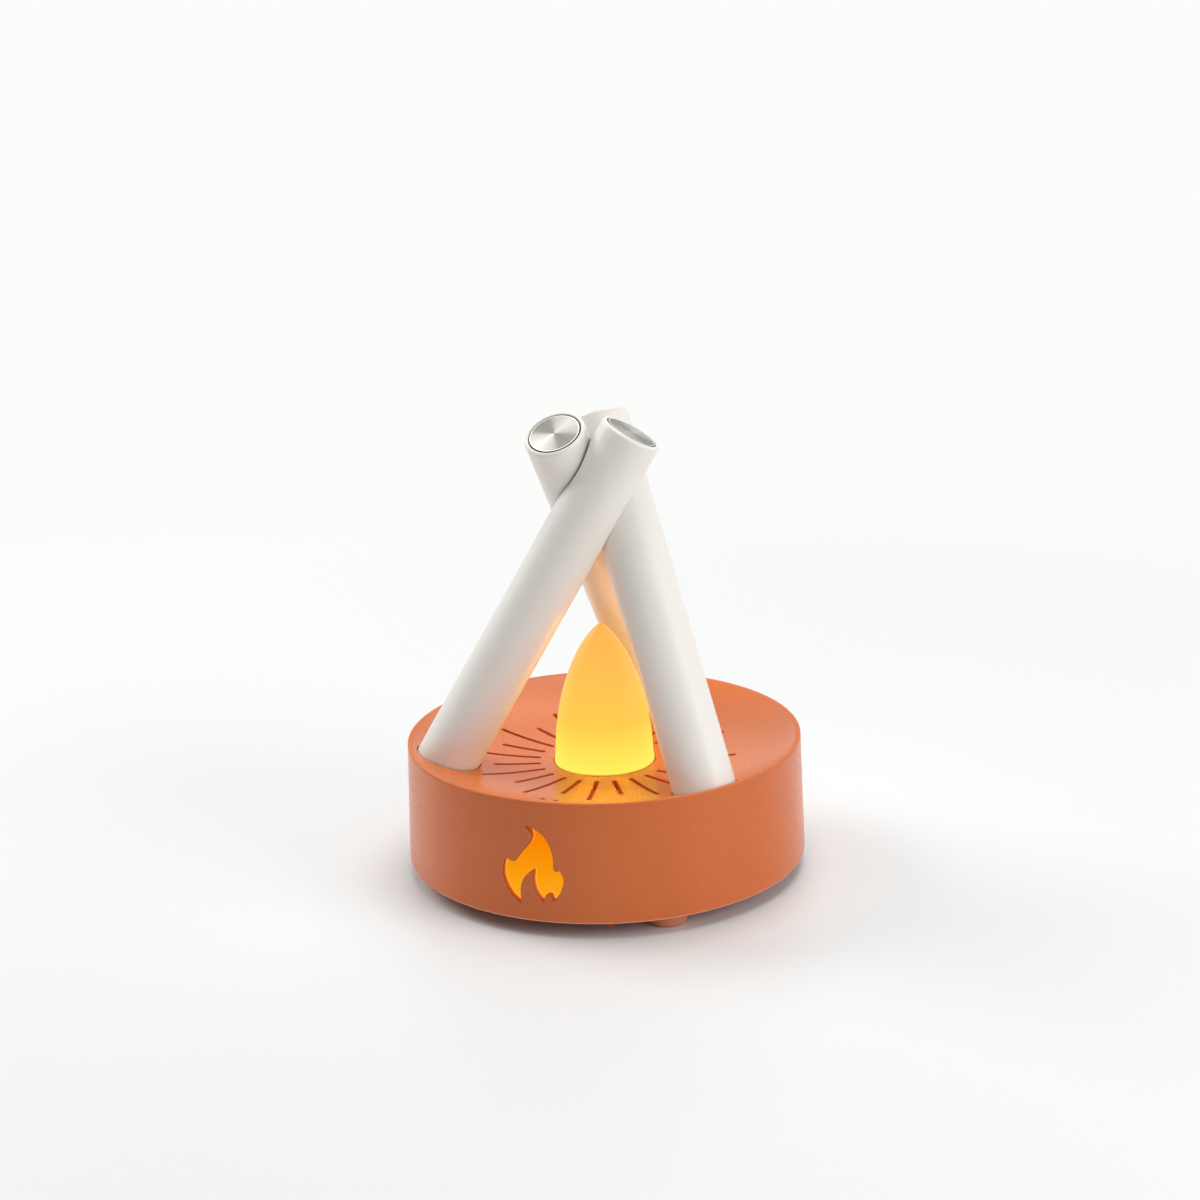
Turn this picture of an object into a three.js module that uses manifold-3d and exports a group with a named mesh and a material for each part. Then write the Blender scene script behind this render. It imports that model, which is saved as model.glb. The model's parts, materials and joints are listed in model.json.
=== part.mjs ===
// A campfire night light with a small loudspeaker: a slotted hearth, three crossed logs and a glowing lamp.
// Millimetres, +Z up. The floor is at z = 0, the lamp stands on the Z axis and the flame window faces -Y.

import * as THREE from "three";
import { mergeVertices } from "three/addons/utils/BufferGeometryUtils.js";
import Module from "manifold-3d";

const wasm = await Module();
wasm.setup();

// Clearances
const fitGap = 0.3; // between pieces that seat on each other
const overrun = 1; // how far a cutter runs past what it cuts

// Housing: side wall and dished top in one moulding
const rimRadius = 60;
const skirtFlare = 0.96; // the wall's draft, wider at the bottom
const wallHeight = 37.1;
const standHeight = 4.5; // from the floor to the wall's lower edge
const wallThickness = 2.2;
const footChamfer = 0.7;
const rimChamfer = 0.4;
const rimLip = 1;
const dishDepth = 8.3;
const dishPower = 3.7; // the dish stays flat in the middle and turns up towards the rim
const deckThickness = 2;
const ribThickness = 1.2;

// Grille: long and short slots in turn, a short one at the front
const slotCount = 24;
const slotWidth = 1.4;
const slotStart = 4.7; // from the lamp's side to the slots' inner ends
const shortSlotInset = 25.8; // from the rim to the short slots' outer ends
const longSlotInset = 19.6;
const meshThickness = 0.5;
const meshBorder = 1;

// Microphone behind two pinholes
const pinholeRadius = 0.65;
const pinholeSpacing = 4;
const pinholeInset = 16; // from the rim
const micBoardRadius = 3.6;
const micBoardThickness = 1;
const micWellWall = 0.8;
const micWellDepth = 2.9; // from the dish's surface at the pinholes

// Lamp
const lampRadius = 15;
const lampHeight = 43.8;
const lampPower = 2.14; // the bullet profile: r = R (1 - (h / H) ^ power) ^ roundness
const lampRoundness = 0.744;
const lampFoot = 0.3; // the flare at its base
const lampWall = 1.6;
const lampFlange = 2.7;
const flangeThickness = 1.5;
const lampBoardThickness = 1.2;
const ledRadius = 4;
const ledHeight = 1.2;
const retainerThickness = 1.5;
const retainerBore = 10;
const lampBossRadius = 1.9;

// Logs
const logRadius = 9.434;
const logWall = 2.2;
const logInset = 14.46; // from the rim to a log's axis, at the rim's level
const crossHeight = 77.26; // from the rim up to the crossing
const crossOffset = 7.113; // how far each axis passes from the lamp's axis there
const logOverhang = 22.1; // from the crossing to the log's upper end
const logEdge = 1;
const copeGap = 0.35;
const saddleWall = 1.4;
const pocketDepth = 10.8; // from the rim
const pocketGap = 0.4;
const pocketWall = 1.8;
const pocketFloor = 2;
const footTrim = 2; // from the rim to the logs' trimmed outer side
const footBlock = 14;
const leadHoleRadius = 1.6;
const leadHoleShift = 6;

// Push buttons in the log ends
const discRadius = 7.75;
const discGap = 0.4;
const discThickness = 1;
const discRecess = 0.05;
const discEdge = 0.15;
const buttonBoreDepth = 8.5;
const buttonTravel = 0.8;
const pressGap = 0.1; // left between a stem and its switch at the end of the travel
const plungerThickness = 1.2;
const plungerSkirt = 2.4;
const skirtWall = 1.1;
const stemRadius = 2;
const switchBoardThickness = 1;
const switchWidth = 6.2;
const switchHeight = 1.8;
const actuatorRadius = 1.5;
const actuatorHeight = 0.5;

// Bottom cover and feet
const coverThickness = 2.2;
const padRadius = 6;
const padInset = 0.96; // from the cover's edge to a pad
const padTurn = 0.061; // the feet stand this much clockwise of the diagonals
const padRecess = 0.8;
const padEdge = 0.8;
const headBoreDepth = 2;
const coverBossHeight = 2.6;
const coverBossWall = 1.4;
const postWall = 2;
const pipRadius = 1.05;
const pipHeight = 2.5; // below the cover
const pipInset = 1.2;

// Screws: shank radius, head radius, head height and length under the head
const coverScrew = { shank: 1.25, head: 2.6, headHeight: 1.4, length: 9 };
const logScrew = { shank: 1.25, head: 2.6, headHeight: 1.6, length: 10 };
const smallScrew = { shank: 0.8, head: 1.6, headHeight: 1.1, length: 4 };

// Loudspeaker
const speakerRadius = 26;
const speakerLift = 14.6; // from the cover to the flange
const speakerFlange = 1.2;
const flangeWidth = 4;
const basketWall = 0.8;
const basketDepth = 8.8;
const basketInset = 2.2; // from the flange's opening in to the basket's mouth
const basketFloorRadius = 12.5;
const magnetRadius = 13;
const magnetThickness = 3.2;
const coneThickness = 0.6;
const rollWidth = 4.2;
const rollHeight = 1.2;
const coneDepth = 7;
const capRadius = 7.2;
const capHeight = 2;
const cradleWall = 2.2;

// Flame window
const flameHeight = 23.7;
const flameLift = 5.4; // from the wall's lower edge
const lensHalfWidth = 12;
const lensBorder = 2.4;
const lensThickness = 1.8;
const lensRailDepth = 3.6;
const windowBoardWidth = 20;
const windowBoardHeight = 21;
const windowBoardThickness = 1.2;
const windowBoardSetback = 4; // from the lens to the board
const windowLedSize = 3.2;
const windowLedHeight = 1.2;
const windowLedSpacing = 8;
const clipWidth = 3;
const clipWall = 1.4;
const clipHeight = 5;

// Battery, main board and charging socket
const batteryLength = 40;
const batteryHeight = 9;
const batteryEdge = 1.5;
const batteryInset = 2.2;
const trayWall = 1.2;
const trayHeight = 4;
const trayGap = 3.53; // from the tray to the loudspeaker
const boardWidth = 36;
const boardGap = 5.43; // from the main board to the loudspeaker
const boardThickness = 1.6;
const boardLift = 3.3;
const boardEdgeGap = 0.5;
const boardScrewInset = 3.5;
const standoffWall = 1.3;
const socketWidth = 8.94;
const socketHeight = 3.26;
const socketLength = 7.35;
const socketShell = 0.3;
const socketBack = 1;
const tongueWidth = 6.7;
const tongueThickness = 0.7;
const tongueLength = 5;
const socketRecess = 0.25;

// Facet counts
const roundSides = 48;
const logSides = 28;
const pieceSides = 20;
const smallSides = 10;
const screwSides = 8;
const edgeSteps = 2;

// Heights and radii that follow from the sizes above
const rimZ = standHeight + wallHeight;
const dishRadius = rimRadius - rimLip;
const innerRadius = rimRadius - wallThickness;
const deckZ = rimZ - dishDepth;
const deckUnderZ = deckZ - deckThickness;
const coverTopZ = standHeight + coverThickness;
const coverRadius = innerRadius + skirtFlare - fitGap;
const padCircle = coverRadius - padRadius - padInset;
const crossZ = rimZ + crossHeight;
const footCircle = rimRadius - logInset;
const leanRun = Math.sqrt(footCircle ** 2 - crossOffset ** 2);
const logTilt = Math.atan2(leanRun, crossHeight);
const pocketFloorZ = rimZ - pocketDepth;
const pocketUnderZ = pocketFloorZ - pocketFloor;
const logFootZ = pocketFloorZ + fitGap;
const footRadius = rimRadius - footTrim;
const footReach = (crossZ - logFootZ) * Math.tan(logTilt);
const discBore = discRadius + discGap;
const slotInner = lampRadius + slotStart;
const shortSlot = rimRadius - shortSlotInset - slotInner;
const longSlot = rimRadius - longSlotInset - slotInner;
const lampBossCircle = lampRadius + lampFlange + fitGap + lampBossRadius;
const thirdTurn = (2 * Math.PI) / 3;
const quarterTurn = Math.PI / 2;
const frontHeading = -Math.PI / 2;
const firstFootHeading = frontHeading - thirdTurn / 2;
const firstLean = firstFootHeading + Math.PI - Math.asin(crossOffset / footCircle);
const quarters = [0, 1, 2, 3];
const footHeadings = quarters.map((i) => quarterTurn * i + quarterTurn / 2 - padTurn);
const pipHeadings = quarters.map((i) => quarterTurn * i + quarterTurn / 4);
const lampScrewHeadings = [0, 1, 2].map((i) => frontHeading + Math.PI / slotCount + i * thirdTurn);
const flangeTopZ = deckUnderZ - fitGap;
const flangeLowZ = flangeTopZ - flangeThickness;
const lampBoardTopZ = flangeLowZ - fitGap;
const lampBoardLowZ = lampBoardTopZ - lampBoardThickness;

// A closed geometry becomes a solid once its corners are shared and its flat triangles are gone.
function toSolid(geometry, place = new THREE.Matrix4()) {
  const bare = geometry.clone().applyMatrix4(place);
  bare.deleteAttribute("normal");
  bare.deleteAttribute("uv");
  const merged = mergeVertices(bare);
  const corners = merged.index.array;
  const kept = [];
  for (let i = 0; i < corners.length; i += 3) {
    const [a, b, c] = corners.slice(i, i + 3);
    if (a !== b && b !== c && c !== a) kept.push(a, b, c);
  }
  const vertProperties = new Float32Array(merged.attributes.position.array);
  return new wasm.Manifold(new wasm.Mesh({ numProp: 3, vertProperties, triVerts: new Uint32Array(kept) }));
}

function toGeometry(solid) {
  const mesh = solid.getMesh();
  const geometry = new THREE.BufferGeometry();
  geometry.setAttribute("position", new THREE.BufferAttribute(mesh.vertProperties.slice(), 3));
  geometry.setIndex(new THREE.BufferAttribute(mesh.triVerts.slice(), 1));
  geometry.computeVertexNormals();
  return geometry;
}

// A profile of [radius, height] pairs, counter-clockwise, turned about Z.
function turned(profile, sides, place) {
  const points = profile.map(([radius, height]) => new THREE.Vector2(radius, height));
  points.push(points[0].clone());
  return toSolid(new THREE.LatheGeometry(points, sides).rotateX(quarterTurn), place);
}

function rod(radius, low, high, sides, place) {
  return turned([[0, low], [radius, low], [radius, high], [0, high]], sides, place);
}

function ring(inner, outer, low, high, sides, place) {
  return turned([[inner, low], [outer, low], [outer, high], [inner, high]], sides, place);
}

// A flat outline carried from the height low to the height high.
function plate(shape, low, high, place = new THREE.Matrix4(), curveSegments = 2) {
  const geometry = new THREE.ExtrudeGeometry(shape, { depth: high - low, bevelEnabled: false, curveSegments });
  return toSolid(geometry.translate(0, 0, low), place);
}

function block([x0, x1], [y0, y1], [z0, z1], place) {
  const geometry = new THREE.BoxGeometry(x1 - x0, y1 - y0, z1 - z0);
  return toSolid(geometry.translate((x0 + x1) / 2, (y0 + y1) / 2, (z0 + z1) / 2), place);
}

// An outline with round ends: a slot, or a rounded rectangle when the radius is less than half its width.
function roundedShape(halfLength, halfWidth, radius) {
  const shape = new THREE.Shape();
  shape.absarc(halfLength - radius, halfWidth - radius, radius, 0, quarterTurn);
  shape.absarc(radius - halfLength, halfWidth - radius, radius, quarterTurn, 2 * quarterTurn);
  shape.absarc(radius - halfLength, radius - halfWidth, radius, 2 * quarterTurn, 3 * quarterTurn);
  shape.absarc(halfLength - radius, radius - halfWidth, radius, 3 * quarterTurn, 4 * quarterTurn);
  return shape;
}

const moved = (x, y, z = 0) => new THREE.Matrix4().makeTranslation(x, y, z);
const headed = (angle) => new THREE.Matrix4().makeRotationZ(angle);
const polar = (radius, angle) => moved(radius * Math.cos(angle), radius * Math.sin(angle));
const towardsFront = new THREE.Matrix4().makeRotationX(quarterTurn);

// The upper surface of the dish at a radius, and how far the wall has flared out at a height.
const dishZ = (radius) => rimZ - dishDepth * (1 - (radius / dishRadius) ** dishPower);
const wallFlareAt = (z) => (skirtFlare * (rimZ - z)) / wallHeight;

// Shares of the dish's radius where its profile bends, above and below the deck.
const dishShares = [1, 0.955, 0.89, 0.81, 0.71, 0.58, 0.4, 0];
const underShares = [1, 0.86, 0.65, 0];

function dishProfile(shares, drop, limit) {
  const radii = shares.map((share) => share * limit);
  return radii.map((radius) => [radius, dishZ(radius) - drop]);
}

// How far out something of this half width reaches inside a round wall.
const chord = (radius, halfWidth) => Math.sqrt(radius ** 2 - halfWidth ** 2);

// A screw stands on its head, with its shank upwards from z = 0.
function screw({ shank, head, headHeight, length }) {
  const profile = [[0, -headHeight], [head, -headHeight], [head, 0], [shank, 0], [shank, length], [0, length]];
  return turned(profile, screwSides);
}

const group = new THREE.Group();

function piece(name, solid, finish, parent = group) {
  const mesh = new THREE.Mesh(toGeometry(solid), new THREE.MeshStandardMaterial(finish));
  mesh.name = name;
  parent.add(mesh);
  return mesh;
}

// Finishes
const terracotta = { color: 0xd4794f, roughness: 0.55, metalness: 0 };
const terracottaDark = { color: 0xa85a3a, roughness: 0.7, metalness: 0 };
const rubber = { color: 0x8c4f3a, roughness: 0.85, metalness: 0 };
const whitePlastic = { color: 0xece9e4, roughness: 0.5, metalness: 0 };
const diffuserPlastic = { color: 0xffd04f, roughness: 0.6, metalness: 0 };
const amberPlastic = { color: 0xff9a1c, roughness: 0.45, metalness: 0 };
const spunMetal = { color: 0xc9c7c2, roughness: 0.3, metalness: 1 };
const blackPlastic = { color: 0x262422, roughness: 0.6, metalness: 0 };
const steel = { color: 0x9a9a98, roughness: 0.4, metalness: 1 };
const boardGreen = { color: 0x1f6b45, roughness: 0.6, metalness: 0 };
const meshCloth = { color: 0x3a2b25, roughness: 0.95, metalness: 0 };
const conePaper = { color: 0x2b2b2d, roughness: 0.9, metalness: 0 };
const cellWrap = { color: 0x8a97a3, roughness: 0.5, metalness: 0 };

// The logs' frames: standing turns a log's lean to +X, and leaning has the log's axis as its Z.
const lean = new THREE.Matrix4().makeRotationY(logTilt).premultiply(moved(0, -crossOffset, crossZ));
const toLog = lean.clone().invert();
const logNames = ["a", "b", "c"];
const leanHeading = (index) => firstLean + index * thirdTurn;
const logPlace = (index) => headed(leanHeading(index)).multiply(lean);
const logLow = -(footReach / Math.sin(logTilt)) - logRadius;

// Everything under the deck stays inside this solid of revolution, which ends inside the deck and the wall.
function underDeck() {
  const radius = innerRadius + wallThickness / 2;
  const profile = dishProfile(underShares, deckThickness / 2, radius);
  return turned([[0, standHeight], [radius, standHeight], ...profile], roundSides);
}

function housingShell() {
  const outside = turned([
    [0, standHeight],
    [rimRadius + skirtFlare - footChamfer, standHeight],
    [rimRadius + wallFlareAt(standHeight + footChamfer), standHeight + footChamfer],
    [rimRadius, rimZ - rimChamfer],
    [rimRadius - rimChamfer, rimZ],
    ...dishProfile(dishShares, 0, dishRadius),
  ], roundSides);
  const inside = turned([
    [0, standHeight - overrun],
    [innerRadius + skirtFlare, standHeight - overrun],
    ...dishProfile(underShares, deckThickness, innerRadius),
  ], roundSides);
  return outside.subtract(inside);
}

// A cup under the deck for each log, and the pocket that the log's foot fills.
function logCup(index) {
  const cup = rod(logRadius + pocketGap + pocketWall, logLow, 0, logSides, logPlace(index));
  return cup.intersect(rod(rimRadius, pocketUnderZ, rimZ, logSides));
}

function logPocket(index) {
  const pocket = rod(logRadius + pocketGap, logLow, 0, logSides, logPlace(index));
  return pocket.intersect(rod(footRadius + fitGap, pocketFloorZ, rimZ + overrun, roundSides));
}

const footPlace = (index, shift = 0) =>
  headed(leanHeading(index)).multiply(moved(shift - footReach, -crossOffset));

function grilleSlots() {
  const slots = [];
  for (let i = 0; i < slotCount; i += 1) {
    const length = i % 2 === 0 ? shortSlot : longSlot;
    const shape = roundedShape(length / 2, slotWidth / 2, slotWidth / 2);
    const heading = headed(frontHeading + (i * 2 * Math.PI) / slotCount);
    const place = heading.multiply(moved(slotInner + length / 2, 0));
    slots.push(plate(shape, deckUnderZ - overrun, rimZ, place, 1));
  }
  return slots;
}

const pinholeCircle = rimRadius - pinholeInset;
const micTopZ = dishZ(pinholeCircle) - micWellDepth;
const micPlace = moved(0, -pinholeCircle);

// The outline of the flame in shares of its height, from the tip clockwise; each run ends at a corner.
const flameShares = [
  [[-0.035, 1], [0.111, 0.957], [0.226, 0.845], [0.3, 0.668], [0.31, 0.48]],
  [[0.31, 0.48], [0.34, 0.443], [0.388, 0.464]],
  [[0.388, 0.464], [0.436, 0.332], [0.389, 0.167], [0.307, 0.068]],
  [[0.307, 0.068], [0.274, 0.15], [0.21, 0.13], [0.176, 0.046]],
  [[0.176, 0.046], [0.09, 0.165], [0.0565, 0.3], [0.065, 0.425], [0.047, 0.448]],
  [[0.047, 0.448], [-0.072, 0.33], [-0.124, 0.18], [-0.119, 0]],
  [[-0.119, 0], [-0.249, 0.104], [-0.343, 0.284], [-0.344, 0.458], [-0.308, 0.559]],
  [[-0.308, 0.559], [-0.247, 0.525], [-0.19, 0.53]],
  [[-0.19, 0.53], [-0.096, 0.648], [0.025, 0.804], [0.045, 0.92], [-0.035, 1]],
];

function flameShape() {
  const toPoint = ([x, y]) => new THREE.Vector2(x * flameHeight, y * flameHeight);
  const runs = flameShares.map((run) => run.map(toPoint));
  const shape = new THREE.Shape();
  shape.moveTo(runs[0][0].x, runs[0][0].y);
  for (const run of runs) shape.splineThru(run.slice(1));
  return shape;
}

// The lens is a strip of the wall's own curve, just inside it, between two rails.
const lensLowZ = standHeight + flameLift - lensBorder;
const lensHighZ = standHeight + flameLift + flameHeight + lensBorder;
const lensInnerRadius = innerRadius - fitGap - lensThickness;

function lensRails() {
  const rails = [];
  for (const side of [-1, 1]) {
    const x = side * (lensHalfWidth + fitGap + ribThickness / 2);
    const wallY = -chord(innerRadius, x);
    rails.push(block([x - ribThickness / 2, x + ribThickness / 2],
      [wallY - wallThickness / 2, wallY + lensRailDepth], [coverTopZ + fitGap, rimZ]));
  }
  return rails;
}

const boardTopZ = coverTopZ + boardLift + boardThickness;
const socketZ = boardTopZ + fitGap + socketHeight / 2;
const socketMouth = rimRadius + wallFlareAt(socketZ) - socketRecess;
const towardsBack = headed(Math.PI).multiply(towardsFront);

function baseHousing() {
  const inner = underDeck();
  let moulding = housingShell();
  for (const index of logNames.keys()) {
    moulding = moulding.add(logCup(index).intersect(inner));
  }
  for (const heading of footHeadings) {
    const place = polar(padCircle, heading);
    const postRadius = coverScrew.shank + fitGap + postWall;
    const postLowZ = coverTopZ + coverBossHeight + fitGap;
    const pilotTopZ = postLowZ + coverScrew.length;
    const pilot = rod(coverScrew.shank + fitGap, postLowZ - overrun, pilotTopZ, smallSides, place);
    const post = rod(postRadius, postLowZ, rimZ, smallSides, place);
    moulding = moulding.add(post.intersect(inner)).subtract(pilot);
  }
  for (const heading of lampScrewHeadings) {
    const place = polar(lampBossCircle, heading);
    const bossTopZ = deckUnderZ + deckThickness / 2;
    const pilot = rod(smallScrew.shank + fitGap, lampBoardLowZ - overrun, bossTopZ, screwSides, place);
    const boss = rod(lampBossRadius, lampBoardLowZ, bossTopZ, smallSides, place);
    moulding = moulding.add(boss).subtract(pilot);
  }
  const micWell = rod(micBoardRadius + micWellWall, micTopZ + fitGap, rimZ, smallSides, micPlace);
  moulding = moulding.add(micWell.intersect(inner));
  for (const rail of lensRails()) moulding = moulding.add(rail.intersect(inner));
  for (const index of logNames.keys()) {
    const screwHole = rod(logScrew.shank + fitGap, pocketUnderZ - overrun, rimZ, screwSides, footPlace(index));
    const leadHole = rod(leadHoleRadius, pocketUnderZ - overrun, pocketFloorZ + overrun, screwSides,
      footPlace(index, leadHoleShift));
    moulding = moulding.subtract(logPocket(index)).subtract(screwHole).subtract(leadHole);
  }
  for (const slot of grilleSlots()) moulding = moulding.subtract(slot);
  for (const side of [-1, 1]) {
    const place = moved((side * pinholeSpacing) / 2, -pinholeCircle);
    moulding = moulding.subtract(rod(pinholeRadius, micTopZ, rimZ, screwSides, place));
  }
  const lampHole = rod(lampRadius + lampFoot + fitGap, deckUnderZ - overrun, rimZ, logSides);
  const flamePlace = moved(0, 0, standHeight + flameLift).multiply(towardsFront);
  const pastWall = rimRadius + skirtFlare + overrun;
  const flame = plate(flameShape(), chord(innerRadius, lensHalfWidth) - overrun, pastWall, flamePlace);
  const portHalfHeight = socketHeight / 2 + fitGap;
  const portShape = roundedShape(socketWidth / 2 + fitGap, portHalfHeight, portHalfHeight);
  const portPlace = moved(0, 0, socketZ).multiply(towardsBack);
  const port = plate(portShape, innerRadius - overrun, pastWall, portPlace);
  return moulding.subtract(lampHole).subtract(flame).subtract(port);
}

piece("base_housing", baseHousing(), terracotta);

// The cover carries the loudspeaker's cradle, the battery tray, the board posts and the window board's clips.
const batteryOuter = chord(innerRadius, batteryLength / 2) - batteryInset;
const batteryWidth = batteryOuter - fitGap - trayWall - trayGap - speakerRadius;
const batteryX = batteryWidth / 2 - batteryOuter;
const boardOuterY = chord(innerRadius, boardWidth / 2) - boardEdgeGap;
const boardInnerY = speakerRadius + boardGap;
const windowBoardY = windowBoardSetback - lensInnerRadius;
const speakerFlangeZ = coverTopZ + speakerLift;
const boardScrewPlaces = [-1, 1].map((side) =>
  moved(side * (boardWidth / 2 - boardScrewInset), boardInnerY + boardScrewInset));

function batteryTray() {
  const halfWidth = batteryWidth / 2 + fitGap;
  const halfLength = batteryLength / 2 + fitGap;
  const radius = batteryEdge + fitGap;
  const place = moved(batteryX, 0);
  const outside = roundedShape(halfWidth + trayWall, halfLength + trayWall, radius + trayWall);
  const inside = roundedShape(halfWidth, halfLength, radius);
  const wall = plate(outside, coverTopZ - coverThickness / 2, coverTopZ + trayHeight, place);
  return wall.subtract(plate(inside, coverTopZ, coverTopZ + trayHeight + overrun, place));
}

function boardClip(side) {
  const x = side * (windowBoardWidth / 2 - clipWidth / 2);
  const backY = windowBoardY + windowBoardThickness + fitGap;
  const frontY = windowBoardY - fitGap;
  const width = [x - clipWidth / 2, x + clipWidth / 2];
  const tall = [coverTopZ - coverThickness / 2, coverTopZ + clipHeight];
  const clip = block(width, [frontY - clipWall, backY + clipWall], tall);
  const groove = block([width[0] - overrun, width[1] + overrun], [frontY, backY],
    [coverTopZ, coverTopZ + clipHeight + overrun]);
  return clip.subtract(groove);
}

function bottomCover() {
  let cover = rod(coverRadius, standHeight, coverTopZ, roundSides);
  cover = cover.add(ring(speakerRadius - cradleWall, speakerRadius, coverTopZ - coverThickness / 2,
    speakerFlangeZ - fitGap, pieceSides));
  cover = cover.add(batteryTray());
  for (const side of [-1, 1]) cover = cover.add(boardClip(side));
  for (const place of boardScrewPlaces) {
    const standoffRadius = smallScrew.shank + fitGap + standoffWall;
    const standoffTopZ = coverTopZ + boardLift - fitGap;
    cover = cover.add(rod(standoffRadius, coverTopZ - coverThickness / 2, standoffTopZ, smallSides, place));
    const pilot = rod(smallScrew.shank + fitGap, coverTopZ, standoffTopZ + overrun, screwSides, place);
    cover = cover.subtract(pilot);
  }
  for (const heading of footHeadings) {
    const place = polar(padCircle, heading);
    const bossRadius = coverScrew.head + fitGap + coverBossWall;
    const headBoreZ = standHeight + padRecess + headBoreDepth;
    const bossTopZ = coverTopZ + coverBossHeight;
    cover = cover.add(rod(bossRadius, coverTopZ - coverThickness / 2, bossTopZ, smallSides, place));
    const recessTopZ = standHeight + padRecess;
    cover = cover.subtract(rod(padRadius + fitGap, standHeight - overrun, recessTopZ, pieceSides, place));
    cover = cover.subtract(rod(coverScrew.head + fitGap, standHeight, headBoreZ, smallSides, place));
    cover = cover.subtract(rod(coverScrew.shank + fitGap, standHeight, bossTopZ + overrun, smallSides, place));
  }
  const pipTopZ = standHeight + coverThickness / 2;
  for (const heading of pipHeadings) {
    const place = polar(coverRadius - pipInset - pipRadius, heading);
    cover = cover.add(rod(pipRadius, standHeight - pipHeight, pipTopZ, screwSides, place));
  }
  return cover;
}

piece("bottom_cover", bottomCover(), terracottaDark);

// Feet and the cover screws that they hide
const quadrants = ["rear_right", "rear_left", "front_left", "front_right"];
const footPad = turned([
  [0, 0],
  [padRadius - padEdge, 0],
  [padRadius, padEdge],
  [padRadius, standHeight + padRecess - fitGap],
  [0, standHeight + padRecess - fitGap],
], pieceSides);
for (const [i, quadrant] of quadrants.entries()) {
  const foot = piece(`foot_${quadrant}`, footPad, rubber);
  foot.position.set(padCircle * Math.cos(footHeadings[i]), padCircle * Math.sin(footHeadings[i]), 0);
  const fastener = piece(`cover_screw_${quadrant}`, screw(coverScrew), steel);
  fastener.position.copy(foot.position).setZ(standHeight + padRecess + headBoreDepth - fitGap);
}

// Lamp: a translucent shell clamped by its flange between the deck and a retaining ring
const lampOuterShares = [0.25, 0.45, 0.62, 0.76, 0.87, 0.95, 0.99, 1];
const lampInnerShares = [1, 0.93, 0.75, 0.45, 0];
const lampCurve = (share, radius, height) =>
  [radius * (1 - share ** lampPower) ** lampRoundness, deckZ + share * height];

function lampDiffuser() {
  const flangeRadius = lampRadius + lampFlange;
  const outside = lampOuterShares.map((share) => lampCurve(share, lampRadius, lampHeight));
  const inside = lampInnerShares.map((share) => lampCurve(share, lampRadius - lampWall, lampHeight - lampWall));
  return turned([
    [lampRadius - lampWall, flangeLowZ],
    [flangeRadius, flangeLowZ],
    [flangeRadius, flangeTopZ],
    [lampRadius + lampFoot, flangeTopZ],
    [lampRadius + lampFoot, deckZ + lampFoot],
    [lampRadius, deckZ + 2 * lampFoot],
    ...outside,
    ...inside,
  ], logSides);
}

piece("lamp_diffuser", lampDiffuser(), diffuserPlastic);

const lampBoard = rod(lampRadius + lampFlange - fitGap, lampBoardLowZ, lampBoardTopZ, pieceSides);
const lampLed = rod(ledRadius, lampBoardTopZ - lampBoardThickness / 2, lampBoardTopZ + ledHeight, smallSides);
piece("lamp_board", lampBoard.add(lampLed), boardGreen);

const retainerTopZ = lampBoardLowZ - fitGap;
const retainerLowZ = retainerTopZ - retainerThickness;

function lampRetainer() {
  let plateRing = ring(retainerBore, lampBossCircle + lampBossRadius, retainerLowZ, retainerTopZ, pieceSides);
  const holeRadius = smallScrew.shank + fitGap;
  for (const heading of lampScrewHeadings) {
    const place = polar(lampBossCircle, heading);
    const hole = rod(holeRadius, retainerLowZ - overrun, retainerTopZ + overrun, screwSides, place);
    plateRing = plateRing.subtract(hole);
  }
  return plateRing;
}

piece("lamp_retainer", lampRetainer(), blackPlastic);
for (const [i, heading] of lampScrewHeadings.entries()) {
  const fastener = piece(`lamp_screw_${i + 1}`, screw(smallScrew), steel);
  fastener.position.set(lampBossCircle * Math.cos(heading), lampBossCircle * Math.sin(heading),
    retainerLowZ - fitGap);
}

// Grille mesh under the slots, and the microphone under its pinholes
function grilleMesh() {
  const innerEdge = lampBossCircle + lampBossRadius + fitGap;
  const outerEdge = slotInner + longSlot + meshBorder;
  const meshShares = [0, 0.5, 1];
  const radii = meshShares.map((share) => innerEdge + share * (outerEdge - innerEdge));
  const under = radii.map((radius) => [radius, dishZ(radius) - deckThickness - fitGap - meshThickness]);
  const over = radii.map((radius) => [radius, dishZ(radius) - deckThickness - fitGap]);
  let cloth = turned([...under, ...over.reverse()], pieceSides);
  const well = rod(micBoardRadius + micWellWall + fitGap, coverTopZ, rimZ, smallSides, micPlace);
  cloth = cloth.subtract(well);
  const cupRadius = logRadius + pocketGap + pocketWall;
  for (const index of logNames.keys()) {
    cloth = cloth.subtract(rod(cupRadius + fitGap, logLow, 0, logSides, logPlace(index)));
  }
  return cloth;
}

piece("grille_mesh", grilleMesh(), meshCloth);
const micBoard = piece("microphone_board", rod(micBoardRadius, -micBoardThickness, 0, smallSides), boardGreen);
micBoard.position.set(0, -pinholeCircle, micTopZ);

// Flame window
function flameLens() {
  const strip = turned([
    [lensInnerRadius + wallFlareAt(lensLowZ), lensLowZ],
    [innerRadius - fitGap + wallFlareAt(lensLowZ), lensLowZ],
    [innerRadius - fitGap + wallFlareAt(lensHighZ), lensHighZ],
    [lensInnerRadius + wallFlareAt(lensHighZ), lensHighZ],
  ], roundSides);
  return strip.intersect(block([-lensHalfWidth, lensHalfWidth], [-rimRadius, 0], [0, rimZ]));
}

piece("flame_window_lens", flameLens(), amberPlastic);

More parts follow.
